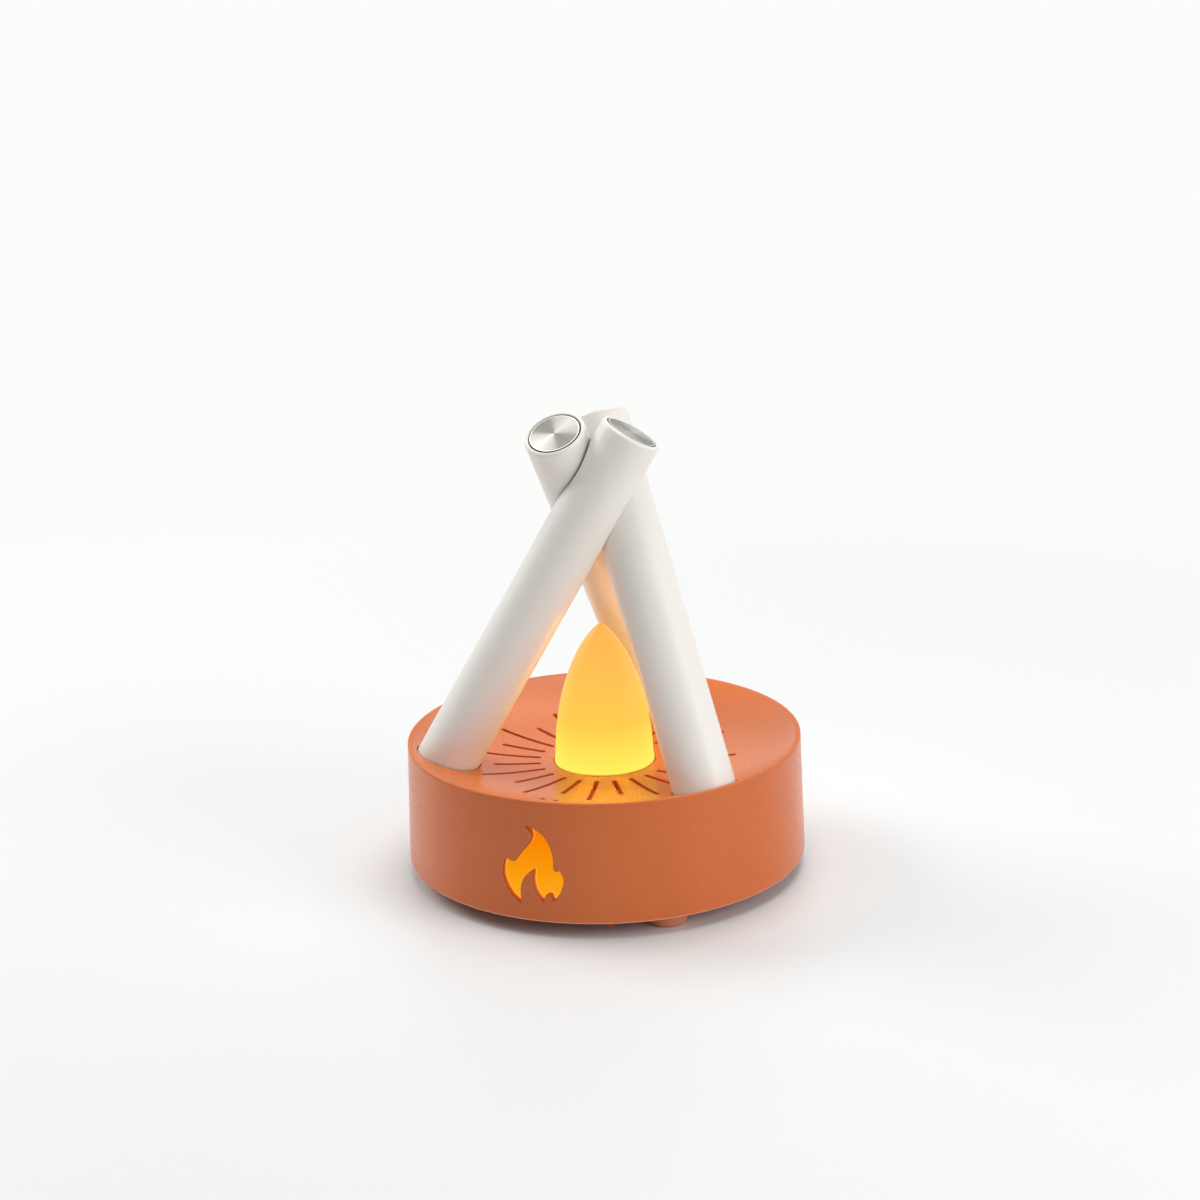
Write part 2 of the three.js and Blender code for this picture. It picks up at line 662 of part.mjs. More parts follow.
function windowBoard() {
  const lowZ = coverTopZ + fitGap;
  let board = block([-windowBoardWidth / 2, windowBoardWidth / 2],
    [windowBoardY, windowBoardY + windowBoardThickness], [lowZ, lowZ + windowBoardHeight]);
  for (const column of [-1, 1]) {
    for (const row of [-1, 1]) {
      const x = (column * windowLedSpacing) / 2;
      const z = lowZ + windowBoardHeight / 2 + (row * windowLedSpacing) / 2;
      const half = windowLedSize / 2;
      board = board.add(block([x - half, x + half],
        [windowBoardY - windowLedHeight, windowBoardY + windowBoardThickness / 2], [z - half, z + half]));
    }
  }
  return board;
}

piece("window_light_board", windowBoard(), boardGreen);

// Loudspeaker: basket on the cradle, magnet below, cone with its roll surround above
function speakerBasket() {
  const flangeTopZ = speakerFlangeZ + speakerFlange;
  const throat = speakerRadius - flangeWidth;
  const floorZ = speakerFlangeZ - basketDepth;
  return turned([
    [0, floorZ],
    [basketFloorRadius, floorZ],
    [throat - basketInset + basketWall, speakerFlangeZ],
    [speakerRadius, speakerFlangeZ],
    [speakerRadius, flangeTopZ],
    [throat, flangeTopZ],
    [throat - basketInset, speakerFlangeZ],
    [basketFloorRadius - basketWall, floorZ + basketWall],
    [0, floorZ + basketWall],
  ], pieceSides);
}

function speakerCone() {
  const z = speakerFlangeZ + speakerFlange + fitGap;
  const edge = speakerRadius - fitGap;
  const rollInner = edge - rollWidth;
  return turned([
    [0, z - coneDepth + capHeight],
    [capRadius, z - coneDepth],
    [rollInner, z],
    [edge - rollWidth / 2, z + rollHeight],
    [edge - coneThickness, z],
    [edge, z],
    [edge, z + coneThickness],
    [edge - rollWidth / 2, z + rollHeight + coneThickness],
    [rollInner, z + coneThickness],
    [capRadius, z - coneDepth + coneThickness],
    [0, z - coneDepth + capHeight + coneThickness],
  ], pieceSides);
}

piece("speaker_basket", speakerBasket(), steel);
piece("speaker_cone", speakerCone(), conePaper);
const magnetTopZ = speakerFlangeZ - basketDepth - fitGap;
piece("speaker_magnet", rod(magnetRadius, magnetTopZ - magnetThickness, magnetTopZ, pieceSides), steel);

// Battery, main board and charging socket
const cellShape = roundedShape(batteryWidth / 2, batteryLength / 2, batteryEdge);
const cell = piece("battery", plate(cellShape, 0, batteryHeight), cellWrap);
cell.position.set(batteryX, 0, coverTopZ + fitGap);

function mainBoard() {
  const lowZ = coverTopZ + boardLift;
  let board = block([-boardWidth / 2, boardWidth / 2], [boardInnerY, boardOuterY], [lowZ, boardTopZ]);
  for (const place of boardScrewPlaces) {
    const hole = rod(smallScrew.shank + fitGap, lowZ - overrun, boardTopZ + overrun, screwSides, place);
    board = board.subtract(hole);
  }
  return board;
}

piece("main_board", mainBoard(), boardGreen);
const turnedOver = new THREE.Matrix4().makeRotationX(Math.PI);
for (const [i, side] of ["left", "right"].entries()) {
  const fastener = piece(`board_screw_${side}`, screw(smallScrew), steel);
  fastener.applyMatrix4(turnedOver.clone().premultiply(boardScrewPlaces[i]));
  fastener.position.setZ(boardTopZ + fitGap);
}

function chargingSocket() {
  const half = socketHeight / 2;
  const shell = plate(roundedShape(socketWidth / 2, half, half), socketMouth - socketLength, socketMouth);
  const mouthShape = roundedShape(socketWidth / 2 - socketShell, half - socketShell, half - socketShell);
  const mouth = plate(mouthShape, socketMouth - socketLength + socketBack, socketMouth + overrun);
  const tongue = block([-tongueWidth / 2, tongueWidth / 2], [-tongueThickness / 2, tongueThickness / 2],
    [socketMouth - socketLength, socketMouth - socketLength + socketBack + tongueLength]);
  return shell.subtract(mouth).add(tongue);
}

const socket = piece("charging_socket", chargingSocket(), steel);
socket.applyMatrix4(moved(0, 0, socketZ).multiply(towardsBack));

// Logs: each is coped round the log before it, and keeps a saddle wall between the cope and its own bore.
const neighbour = (step) => toLog.clone().multiply(headed(step * thirdTurn)).multiply(lean);
const neighbourRod = (step, radius) => rod(radius, logLow, logOverhang, logSides, neighbour(step));

function logTube(holdsCore) {
  const rounding = [];
  for (let i = 0; i <= edgeSteps; i += 1) {
    const angle = (quarterTurn * i) / edgeSteps;
    const inwards = logEdge * (1 - Math.cos(angle));
    const downwards = logEdge * (1 - Math.sin(angle));
    rounding.push([logRadius - inwards, logOverhang - downwards]);
  }
  const blank = turned([[0, logLow], [logRadius, logLow], ...rounding, [0, logOverhang]], logSides);
  const boreLow = footBlock - footReach / Math.sin(logTilt);
  let bore = rod(logRadius - logWall, boreLow, logOverhang, logSides);
  bore = bore.subtract(neighbourRod(-1, logRadius + copeGap + saddleWall));
  let cope = neighbourRod(-1, logRadius + copeGap);
  if (holdsCore) cope = cope.subtract(neighbourRod(1, logRadius));
  const buttonBore = rod(discBore, logOverhang - buttonBoreDepth, logOverhang + overrun, logSides);
  const footSpace = rod(footRadius, logFootZ, crossZ + crossHeight, roundSides, toLog);
  const screwPilot = rod(logScrew.shank + fitGap, logFootZ - overrun, logFootZ + logScrew.length - pocketFloor,
    screwSides, toLog.clone().multiply(moved(-footReach, -crossOffset)));
  const leadHole = rod(leadHoleRadius, logFootZ - overrun, logFootZ + footBlock + leadHoleRadius, screwSides,
    toLog.clone().multiply(moved(leadHoleShift - footReach, -crossOffset)));
  const cuts = [cope, bore, buttonBore, screwPilot, leadHole];
  return cuts.reduce((tube, cutter) => tube.subtract(cutter), blank.intersect(footSpace));
}

const discTop = logOverhang - discRecess;
const plungerTop = discTop - discThickness - fitGap;
const switchBoardLow = logOverhang - buttonBoreDepth + fitGap;
const actuatorTop = switchBoardLow + switchBoardThickness + switchHeight + actuatorHeight;

const buttonDisc = turned([
  [0, discTop - discThickness],
  [discRadius, discTop - discThickness],
  [discRadius, discTop - discEdge],
  [discRadius - discEdge, discTop],
  [0, discTop],
], logSides);

// The plunger has a guiding skirt and a stem that reaches the switch at the end of the travel.
const plungerLow = plungerTop - plungerThickness;
const stemLow = actuatorTop + buttonTravel + pressGap;
const buttonPlunger = turned([
  [0, stemLow],
  [stemRadius, stemLow],
  [stemRadius, plungerLow],
  [discRadius - skirtWall, plungerLow],
  [discRadius - skirtWall, plungerTop - plungerSkirt],
  [discRadius, plungerTop - plungerSkirt],
  [discRadius, plungerTop],
  [0, plungerTop],
], pieceSides);

function buttonSwitch() {
  const boardTop = switchBoardLow + switchBoardThickness;
  const board = rod(discRadius, switchBoardLow, boardTop, pieceSides);
  const half = switchWidth / 2;
  const canLow = boardTop - switchBoardThickness / 2;
  const can = block([-half, half], [-half, half], [canLow, boardTop + switchHeight]);
  return board.add(can).add(rod(actuatorRadius, boardTop, actuatorTop, smallSides));
}

for (const [index, name] of logNames.entries()) {
  const standing = new THREE.Group();
  standing.rotation.z = leanHeading(index);
  const leaning = new THREE.Group();
  leaning.applyMatrix4(lean);
  standing.add(leaning);
  group.add(standing);
  piece(`log_${name}`, logTube(index === logNames.length - 1), whitePlastic, leaning);
  piece(`button_disc_${name}`, buttonDisc, spunMetal, leaning);
  piece(`button_plunger_${name}`, buttonPlunger, whitePlastic, leaning);
  piece(`button_switch_${name}`, buttonSwitch(), boardGreen, leaning);
  const fastener = piece(`log_screw_${name}`, screw(logScrew), steel, standing);
  fastener.position.set(-footReach, -crossOffset, pocketUnderZ - fitGap);
}

group.updateMatrixWorld(true);

export default group;
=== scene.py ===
import json
import math

import bpy
import numpy as np
from mathutils import Matrix, Vector


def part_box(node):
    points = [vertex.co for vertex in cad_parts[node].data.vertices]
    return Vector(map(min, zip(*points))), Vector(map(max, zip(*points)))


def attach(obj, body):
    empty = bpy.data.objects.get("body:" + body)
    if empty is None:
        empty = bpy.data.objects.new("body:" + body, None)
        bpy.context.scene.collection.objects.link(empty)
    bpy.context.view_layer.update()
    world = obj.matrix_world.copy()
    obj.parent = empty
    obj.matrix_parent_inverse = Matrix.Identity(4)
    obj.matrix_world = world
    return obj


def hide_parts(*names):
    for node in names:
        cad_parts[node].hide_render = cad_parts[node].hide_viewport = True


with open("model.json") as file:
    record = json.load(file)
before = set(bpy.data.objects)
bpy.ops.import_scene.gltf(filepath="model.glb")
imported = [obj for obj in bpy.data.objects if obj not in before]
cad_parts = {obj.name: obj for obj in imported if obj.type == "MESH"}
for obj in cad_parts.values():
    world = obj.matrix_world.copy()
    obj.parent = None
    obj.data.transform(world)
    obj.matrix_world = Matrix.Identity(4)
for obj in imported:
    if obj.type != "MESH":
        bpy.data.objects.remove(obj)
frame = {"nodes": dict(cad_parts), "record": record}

mm = 0.001
turn = 2 * math.pi
nothing = 1e-12  # what counts as no length
nearAxis = 1 * mm  # where a flat end's fan of triangles starts
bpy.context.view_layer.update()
nodes = frame["nodes"]
print("frame loaded:", len(nodes), "nodes")

# Camera: where the photograph was taken from
shot = {
    "place": (0.32812, -0.79982, 0.35263),
    "forward": (-0.3624, 0.88362, -0.29646),
    "up": (-0.08331, 0.2861, 0.95457),
    "lens": 90,
    "sensor": 36,
}


def makeCamera(shot):
    forward = Vector(shot["forward"]).normalized()
    right = forward.cross(Vector(shot["up"])).normalized()
    up = right.cross(forward)
    data = bpy.data.cameras.new("camera")
    data.lens = shot["lens"]
    data.sensor_width = shot["sensor"]
    camera = bpy.data.objects.new("camera", data)
    facing = Matrix((right, up, -forward)).transposed().to_4x4()
    camera.matrix_world = Matrix.Translation(shot["place"]) @ facing
    bpy.context.scene.collection.objects.link(camera)
    bpy.context.scene.camera = camera


makeCamera(shot)
print("camera set")


# Surfaces: a piece is a stack of rings of points, each ring joined to the next by quads
def anglesOf(sides):
    return np.arange(sides) / sides * turn


def aroundAxis(radius, angle, height):
    # x = r cos a, y = r sin a and z = h, for each radius and height with each angle
    return np.stack(np.broadcast_arrays(radius * np.cos(angle), radius * np.sin(angle), height), axis=-1)


def unit(vectors):
    return vectors / np.linalg.norm(vectors, axis=-1, keepdims=True)


def fromRings(name, rings, place=None, looped=False):
    # Rings turn counter-clockwise about the way they follow each other; the ends close in a fan round
    # their middle, or the last ring joins the first. A place is (origin, axes) and its axes are columns.
    rings = np.asarray(rings, float)
    count, around = rings.shape[:2]
    points = rings.reshape(-1, 3)
    index = np.arange(count * around).reshape(count, around)
    beside = np.roll(index, -1, axis=1)
    above = np.roll(index, -1, axis=0)
    quads = np.stack([index, beside, np.roll(beside, -1, axis=0), above], axis=-1)
    quads = quads if looped else quads[:-1]
    faces = quads.reshape(-1, 4).tolist()
    if not looped:
        points = np.vstack([points, rings[0].mean(0), rings[-1].mean(0)])
        middle = np.full(around, count * around)
        faces += np.stack([middle, beside[0], index[0]], axis=-1).tolist()
        faces += np.stack([middle + 1, index[-1], beside[-1]], axis=-1).tolist()
    if place is not None:
        origin, axes = place
        points = origin + points @ axes.T
    mesh = bpy.data.meshes.new(name)
    mesh.from_pydata(points, [], faces)
    mesh.update()
    piece = bpy.data.objects.new(name, mesh)
    bpy.context.scene.collection.objects.link(piece)
    return piece


def turned(name, profile, sides, place=None, looped=False):
    # A profile of points (r, z) carried round the axis
    profile = np.asarray(profile, float)
    return fromRings(name, aroundAxis(profile[:, :1], anglesOf(sides), profile[:, 1:]), place, looped)


def softened(corners, cuts, steps=6):
    # Each corner becomes (1 - t)^2 before + 2 t (1 - t) corner + t^2 after, a parabola between the points
    # that lie a cut's length before and after it; without a cut it stays sharp, and its repeats are dropped
    corners = np.asarray(corners, float)
    cuts = np.asarray(cuts, float)[:, None]
    before = corners + cuts * unit(np.roll(corners, 1, axis=0) - corners)
    after = corners + cuts * unit(np.roll(corners, -1, axis=0) - corners)
    t = np.linspace(0, 1, steps)[None, :, None]
    middle = 2 * t * (1 - t) * corners[:, None]
    points = ((1 - t) ** 2 * before[:, None] + middle + t**2 * after[:, None]).reshape(-1, 2)
    return points[np.linalg.norm(points - np.roll(points, 1, axis=0), axis=1) > nothing]


def combine(piece, tools, operation="DIFFERENCE"):
    # The tools are used up, and the piece gets the resulting mesh
    for tool in tools:
        modifier = piece.modifiers.new(tool.name, "BOOLEAN")
        modifier.object = tool
        modifier.operation = operation
        modifier.solver = "MANIFOLD"
    bpy.context.view_layer.update()
    evaluated = piece.evaluated_get(bpy.context.evaluated_depsgraph_get())
    mesh = bpy.data.meshes.new_from_object(evaluated)
    piece.modifiers.clear()
    piece.data = mesh
    for tool in tools:
        bpy.data.objects.remove(tool)
    return piece


def finished(piece, body, material, replaced=None, angle=35):
    # Smooth faces, but sharp edges from the angle on, in degrees
    mesh = piece.data
    mesh.materials.clear()
    mesh.materials.append(material)
    mesh.polygons.foreach_set("use_smooth", np.ones(len(mesh.polygons), bool))
    mesh.set_sharp_from_angle(angle=math.radians(angle))
    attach(piece, body)
    if replaced:
        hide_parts(replaced)
    return piece


# Cutters go on past what they cut; a rounded edge ends just short of level, and then the side leans out
cutter = {"past": 1 * mm, "edgeTurn": math.radians(80), "lean": math.radians(10)}


def flare(radius, depth, steps=5):
    # A cutter's pushes and heights: straight up, then along the edge's circle, where the push is
    # r (1 - cos a) and the height r (sin a - 1), and up out of the surface
    angle = np.linspace(0, cutter["edgeTurn"], steps)
    push = radius * (1 - np.cos(angle))
    height = radius * (np.sin(angle) - 1)
    out = radius + cutter["past"] * math.tan(cutter["lean"])
    return [(0, -depth), *zip(push, height), (out, cutter["past"])]


def flaredCutter(name, outline, steps, lift):
    # Ring k is the outline pushed outwards by the first of steps[k] and lifted by its second
    outward = outwardOf(outline)
    return fromRings(name, np.stack([lift(outline + push * outward, height) for push, height in steps]))


def outwardOf(outline, sharpest=0.6):
    # The two edge directions at a point, turned a quarter to the right, added and divided by 1 + their dot
    # product, which counts as no less than the sharpest corner's
    edge = unit(np.roll(outline, -1, axis=0) - outline)
    right = np.stack([edge[:, 1], -edge[:, 0]], axis=-1)
    before = np.roll(right, 1, axis=0)
    meet = 1 + (right * before).sum(1)
    return (right + before) / np.maximum(meet, sharpest)[:, None]


def stadium(halfLength, halfWidth, steps=10):
    # Two half circles of the radius halfWidth, about points halfLength - halfWidth from the middle
    angle = np.linspace(-turn / 4, turn / 4, steps)
    along = halfLength - halfWidth + halfWidth * np.cos(angle)
    right = np.stack([along, halfWidth * np.sin(angle)], axis=-1)
    return np.vstack([right, -right])


def curved(points, steps=8):
    # A Catmull-Rom curve: each stretch is a cubic whose slope at a point is half the step between its
    # neighbours. The last point is left out, because the next run starts there.
    points = np.asarray(points, float)
    padded = np.vstack([points[:1], points, points[-1:]])
    p0, p1, p2, p3 = (padded[i : len(padded) - 3 + i, None] for i in range(4))
    v1, v2 = (p2 - p0) / 2, (p3 - p1) / 2
    t = (np.arange(steps) / steps)[None, :, None]
    cubed = 2 * p1 - 2 * p2 + v1 + v2
    squared = 3 * p2 - 3 * p1 - 2 * v1 - v2
    return (cubed * t**3 + squared * t**2 + v1 * t + p1).reshape(-1, points.shape[1])


# Shader maths
class Wire:
    # A socket that takes part in sums; each operator adds its Math node
    def __init__(self, finish, socket):
        self.finish = finish
        self.socket = socket

    def __add__(self, other):
        return self.finish.maths("ADD", self, other)

    def __radd__(self, other):
        return self.finish.maths("ADD", other, self)

    def __sub__(self, other):
        return self.finish.maths("SUBTRACT", self, other)

    def __rsub__(self, other):
        return self.finish.maths("SUBTRACT", other, self)

    def __mul__(self, other):
        return self.finish.maths("MULTIPLY", self, other)

    def __rmul__(self, other):
        return self.finish.maths("MULTIPLY", other, self)


class Finish:
    # A material, whose shader's plain values are given at once and whose patterns are fed in later
    def __init__(self, name, **fixed):
        self.material = bpy.data.materials.new(name)
        self.material.use_nodes = True
        self.tree = self.material.node_tree
        self.shader = self.tree.nodes["Principled BSDF"]
        for socket, value in fixed.items():
            self.feed(socket.replace("_", " ").title().replace("Ior", "IOR"), value)

    def add(self, kind, settings=None, values=None, output=0):
        node = self.tree.nodes.new(kind)
        for setting, value in (settings or {}).items():
            if setting == "stops":
                self.setStops(node.color_ramp, value)
            else:
                setattr(node, setting, value)
        for socket, value in (values or {}).items():
            self.connect(node.inputs[socket], value)
        return Wire(self, node.outputs[output])

    def setStops(self, ramp, stops):
        while len(ramp.elements) < len(stops):
            ramp.elements.new(0.5)
        for element, (position, colour) in zip(ramp.elements, stops):
            element.position = position
            element.color = colour

    def connect(self, socket, value):
        if isinstance(value, Wire):
            self.tree.links.new(value.socket, socket)
        else:
            socket.default_value = value

    def feed(self, socket, value):
        self.connect(self.shader.inputs[socket], value)

    def fed(self, socket):
        # What feeds a socket so far
        return Wire(self, self.shader.inputs[socket].links[0].from_socket)

    def place(self):
        return self.add("ShaderNodeTexCoord", output="Object")

    def axis(self, number):
        return self.add("ShaderNodeSeparateXYZ", values={0: self.place()}, output=number)

    def length(self, vector):
        return self.vector("LENGTH", vector)

    def maths(self, operation, *values):
        return self.add("ShaderNodeMath", {"operation": operation}, dict(enumerate(values)))

    def vector(self, operation, first, second=(0, 0, 0)):
        output = "Value" if operation in ("LENGTH", "DOT_PRODUCT") else "Vector"
        return self.add("ShaderNodeVectorMath", {"operation": operation}, {0: first, 1: second}, output)

    def noise(self, scale, detail=2, roughness=0.5, vector=None):
        values = {"Vector": vector or self.place(), "Scale": scale}
        return self.add("ShaderNodeTexNoise", values={**values, "Detail": detail, "Roughness": roughness})

    def mix(self, factor, first, second):
        # A Mix node's colours are its sockets 6 and 7, and its output 2
        return self.add("ShaderNodeMix", {"data_type": "RGBA"}, {0: factor, 6: first, 7: second}, 2)

    def ranged(self, value, low, high, newLow=0, newHigh=1):
        values = {0: value, 1: low, 2: high, 3: newLow, 4: newHigh}
        return self.add("ShaderNodeMapRange", {"interpolation_type": "SMOOTHSTEP"}, values)

    def over(self, value, band):
        # 0 before the band, 1 after it
        return self.ranged(value, *band)

    def bump(self, height, distance):
        return self.add("ShaderNodeBump", values={"Height": height, "Distance": distance, "Strength": 1})


def rgb(red, green, blue):
    # From a screen's numbers, 0 to 255, to light: ((v + 0.055) / 1.055) ^ 2.4, or v / 12.92 when dark
    value = np.array([red, green, blue]) / 255
    light = np.where(value > 0.04045, ((value + 0.055) / 1.055) ** 2.4, value / 12.92)
    return (*light.tolist(), 1)


moulding = {
    "patch": 18 * mm,
    "grain": 0.25 * mm,
    "depth": 0.006 * mm,
    "grainRange": (0.2, 0.8),
    "glossSpread": 0.05,
}


def mouldedFinish(name, tint, shade, roughness, grain=moulding["grain"], depth=moulding["depth"], **fixed):
    # Moulded plastic or rubber: an even tint with faint patches, over a fine spark-eroded grain
    finish = Finish(name, **fixed)
    patches = finish.noise(1 / moulding["patch"], detail=3)
    fine = finish.noise(1 / grain, detail=3, roughness=0.6)
    finish.feed("Base Color", finish.mix(patches, tint, shade))
    spread = moulding["glossSpread"]
    gloss = finish.ranged(fine, *moulding["grainRange"], roughness - spread, roughness + spread)
    finish.feed("Roughness", gloss)
    finish.feed("Normal", finish.bump(fine, depth))
    return finish


def moulded(*settings, **fixed):
    return mouldedFinish(*settings, **fixed).material


# Base housing
base = {
    "rimRadius": 60 * mm,
    "skirtFlare": 0.96 * mm,
    "wallHeight": 37.1 * mm,
    "standHeight": 4.5 * mm,
    "wallThickness": 2.2 * mm,
    "rimLip": 1 * mm,
    "dishDepth": 8.3 * mm,
    "dishPower": 3.7,
    "deckThickness": 2 * mm,
    "holeRadius": 15.6 * mm,
    "footCut": 0.7 * mm,
    "rimCut": 0.45 * mm,
    "edgeCut": 0.2 * mm,
    "sides": 288,
    "wallSteps": 16,
    "dishSteps": 72,
    "deckSteps": 30,
}
base["rimZ"] = base["standHeight"] + base["wallHeight"]
base["dishRadius"] = base["rimRadius"] - base["rimLip"]
base["innerRadius"] = base["rimRadius"] - base["wallThickness"]
base["deckZ"] = base["rimZ"] - base["dishDepth"]


def dishHeight(radius):
    # The rim's height less the depth times 1 - (r / R) ^ power
    share = radius / base["dishRadius"]
    return base["rimZ"] - base["dishDepth"] * (1 - share ** base["dishPower"])


def wallRadius(height, inset=0):
    # The rim's radius less the inset, plus the flare times the share of the way down to the wall's foot
    share = (base["rimZ"] - height) / base["wallHeight"]
    return base["rimRadius"] - inset + base["skirtFlare"] * share


def housingProfile():
    # Up the outside, in over the rim and down the dish to the lamp's hole, then back along the inside
    low, high = base["standHeight"], base["rimZ"]
    wall = np.linspace(low, high, base["wallSteps"])
    outside = np.stack([wallRadius(wall), wall], axis=-1)
    dish = np.linspace(base["dishRadius"], base["holeRadius"], base["dishSteps"])
    top = np.stack([dish, dishHeight(dish)], axis=-1)
    under = np.linspace(base["holeRadius"], base["innerRadius"], base["deckSteps"])
    below = np.stack([under, dishHeight(under) - base["deckThickness"]], axis=-1)
    inside = np.array([[wallRadius(low, base["wallThickness"]), low]])
    corners = np.vstack([outside, top, below, inside])
    cuts = np.zeros(len(corners))
    rim, hole = len(outside), len(outside) + len(top) - 1
    cuts[0] = base["footCut"]
    cuts[rim - 1 : rim + 1] = base["rimCut"]
    cuts[[hole, -1]] = base["edgeCut"]
    return softened(corners, cuts)


# Grille slots
slots = {
    "count": 24,
    "width": 1.4 * mm,
    "start": 19.7 * mm,
    "shortEnd": 34.2 * mm,
    "longEnd": 40.4 * mm,
    "edge": 0.26 * mm,
    "front": -turn / 4,
}


def overDish(x, y, height):
    return np.stack([x, y, dishHeight(np.hypot(x, y)) + height], axis=-1)


def slotCutter(number):
    length = (slots["longEnd"] if number % 2 else slots["shortEnd"]) - slots["start"]
    heading = slots["front"] + number * turn / slots["count"]
    outline = stadium(length / 2, slots["width"] / 2)
    middle = slots["start"] + length / 2

    def lift(points, height):
        # Over the dish, turned to the slot's heading
        along, across = middle + points[:, 0], points[:, 1]
        x = along * math.cos(heading) - across * math.sin(heading)
        y = along * math.sin(heading) + across * math.cos(heading)
        return overDish(x, y, height)

    steps = flare(slots["edge"], base["deckThickness"] + cutter["past"])
    return flaredCutter(f"slot{number}", outline, steps, lift)


# Microphone holes
pinholes = {
    "radius": 0.85 * mm,
    "spacing": 4 * mm,
    "circle": 44 * mm,
    "depth": 2.9 * mm,
    "edge": 0.05 * mm,
    "sides": 20,
}


def pinholeCutter(side):
    angle = anglesOf(pinholes["sides"])
    outline = pinholes["radius"] * np.stack([np.cos(angle), np.sin(angle)], axis=-1)

    def lift(points, height):
        # Over the dish at the front, half the spacing to one side
        x = points[:, 0] + side * pinholes["spacing"] / 2
        return overDish(x, points[:, 1] - pinholes["circle"], height)

    return flaredCutter(f"pinhole{side}", outline, flare(pinholes["edge"], pinholes["depth"]), lift)


# Flame window, in shares of its height: each run ends at a corner of the flame
flame = {
    "height": 23.7 * mm,
    "lift": 5.4 * mm,
    "edge": 0.32 * mm,
    "runs": [
        [(-0.035, 1), (0.111, 0.957), (0.226, 0.845), (0.3, 0.668), (0.31, 0.48)],
        [(0.31, 0.48), (0.34, 0.443), (0.388, 0.464)],
        [(0.388, 0.464), (0.436, 0.332), (0.389, 0.167), (0.307, 0.068)],
        [(0.307, 0.068), (0.274, 0.15), (0.21, 0.13), (0.176, 0.046)],
        [(0.176, 0.046), (0.09, 0.165), (0.0565, 0.3), (0.065, 0.425), (0.047, 0.448)],
        [(0.047, 0.448), (-0.072, 0.33), (-0.124, 0.18), (-0.119, 0)],
        [(-0.119, 0), (-0.249, 0.104), (-0.343, 0.284), (-0.344, 0.458), (-0.308, 0.559)],
        [(-0.308, 0.559), (-0.247, 0.525), (-0.19, 0.53)],
        [(-0.19, 0.53), (-0.096, 0.648), (0.025, 0.804), (0.045, 0.92), (-0.035, 1)],
    ],
}
flame["low"] = base["standHeight"] + flame["lift"]
flame["high"] = flame["low"] + flame["height"]


def wallLift(way):
    def lift(points, height):
        # Out from the wall's own circle, sqrt(R^2 - x^2), towards the front, -1, or the back, 1
        x, z = -way * points[:, 0], points[:, 1]
        return np.stack([x, way * (np.sqrt(wallRadius(z) ** 2 - x**2) + height), z], axis=-1)

    return lift


def flameCutter():
    # The runs joined into one outline, which then turns counter-clockwise, times the flame's height
    outline = np.vstack([curved(run) for run in flame["runs"]])[::-1]
    outline = outline * flame["height"] + (0, flame["low"])
    steps = flare(flame["edge"], base["wallThickness"] + cutter["past"])
    return flaredCutter("flame", outline, steps, wallLift(-1))


# Charging port
port = {"width": 8.94 * mm, "height": 3.26 * mm, "gap": 0.3 * mm, "edge": 0.2 * mm}
socketLow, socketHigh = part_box("charging_socket")
port["z"] = (socketLow.z + socketHigh.z) / 2
port["mouth"] = socketHigh.y
port["back"] = socketLow.y


def portCutter():
    # A stadium wider than the socket by the gap all round
    outline = stadium(port["width"] / 2 + port["gap"], port["height"] / 2 + port["gap"]) + (0, port["z"])
    steps = flare(port["edge"], base["wallThickness"] + cutter["past"])
    return flaredCutter("port", outline, steps, wallLift(1))


# Logs
log = {
    "radius": 9.434 * mm,
    "inset": 14.46 * mm,
    "crossHeight": 77.26 * mm,
    "crossOffset": 7.113 * mm,
    "overhang": 22.1 * mm,
    "edge": 1 * mm,
    "copeGaps": [0.5 * mm, 0.03 * mm, 0.35 * mm],
    "copeEdge": 0.1 * mm,
    "pocketDepth": 10.8 * mm,
    "pocketGap": 0.4 * mm,
    "pocketWall": 1.8 * mm,
    "pocketFloor": 2 * mm,
    "pocketSteps": 16,
    "cupInWall": 1 * mm,
    "roomPast": 0.1 * mm,
    "footCircle": 58 * mm,
    "firstTurn": math.radians(30),  # opposite the first log's foot
    "footGap": 0.3 * mm,
    "footRise": 4 * mm,
    "sides": 144,
    "footSteps": 20,
    "shaftSteps": 90,
    "lipSteps": 9,
}
log["circle"] = base["rimRadius"] - log["inset"]
log["crossZ"] = base["rimZ"] + log["crossHeight"]
log["lean"] = math.sqrt(log["circle"] ** 2 - log["crossOffset"] ** 2)
log["tilt"] = math.atan2(log["lean"], log["crossHeight"])
log["firstLean"] = log["firstTurn"] - math.asin(log["crossOffset"] / log["circle"])
log["pocketZ"] = base["rimZ"] - log["pocketDepth"]
log["footZ"] = log["pocketZ"] + log["footGap"]
logNames = "abc"

# Push buttons, in the logs' upper ends
button = {
    "bore": 8.15 * mm,
    "depth": 8.5 * mm,
    "disc": 7.75 * mm,
    "thickness": 1 * mm,
    "recess": 0.05 * mm,
    "edge": 0.15 * mm,
    "lip": 0.4 * mm,
}


def logPlace(number):
    # The crossing point and the log's axes: its Z runs up along the log, its X down the side it leans to
    heading = log["firstLean"] + number * turn / 3
    c, s = math.cos(heading), math.sin(heading)
    ct, st = math.cos(log["tilt"]), math.sin(log["tilt"])
    about = np.array([[c, -s, 0], [s, c, 0], [0, 0, 1]])
    leaned = np.array([[ct, 0, st], [0, 1, 0], [-st, 0, ct]])
    return about @ np.array([0, -log["crossOffset"], log["crossZ"]]), about @ leaned


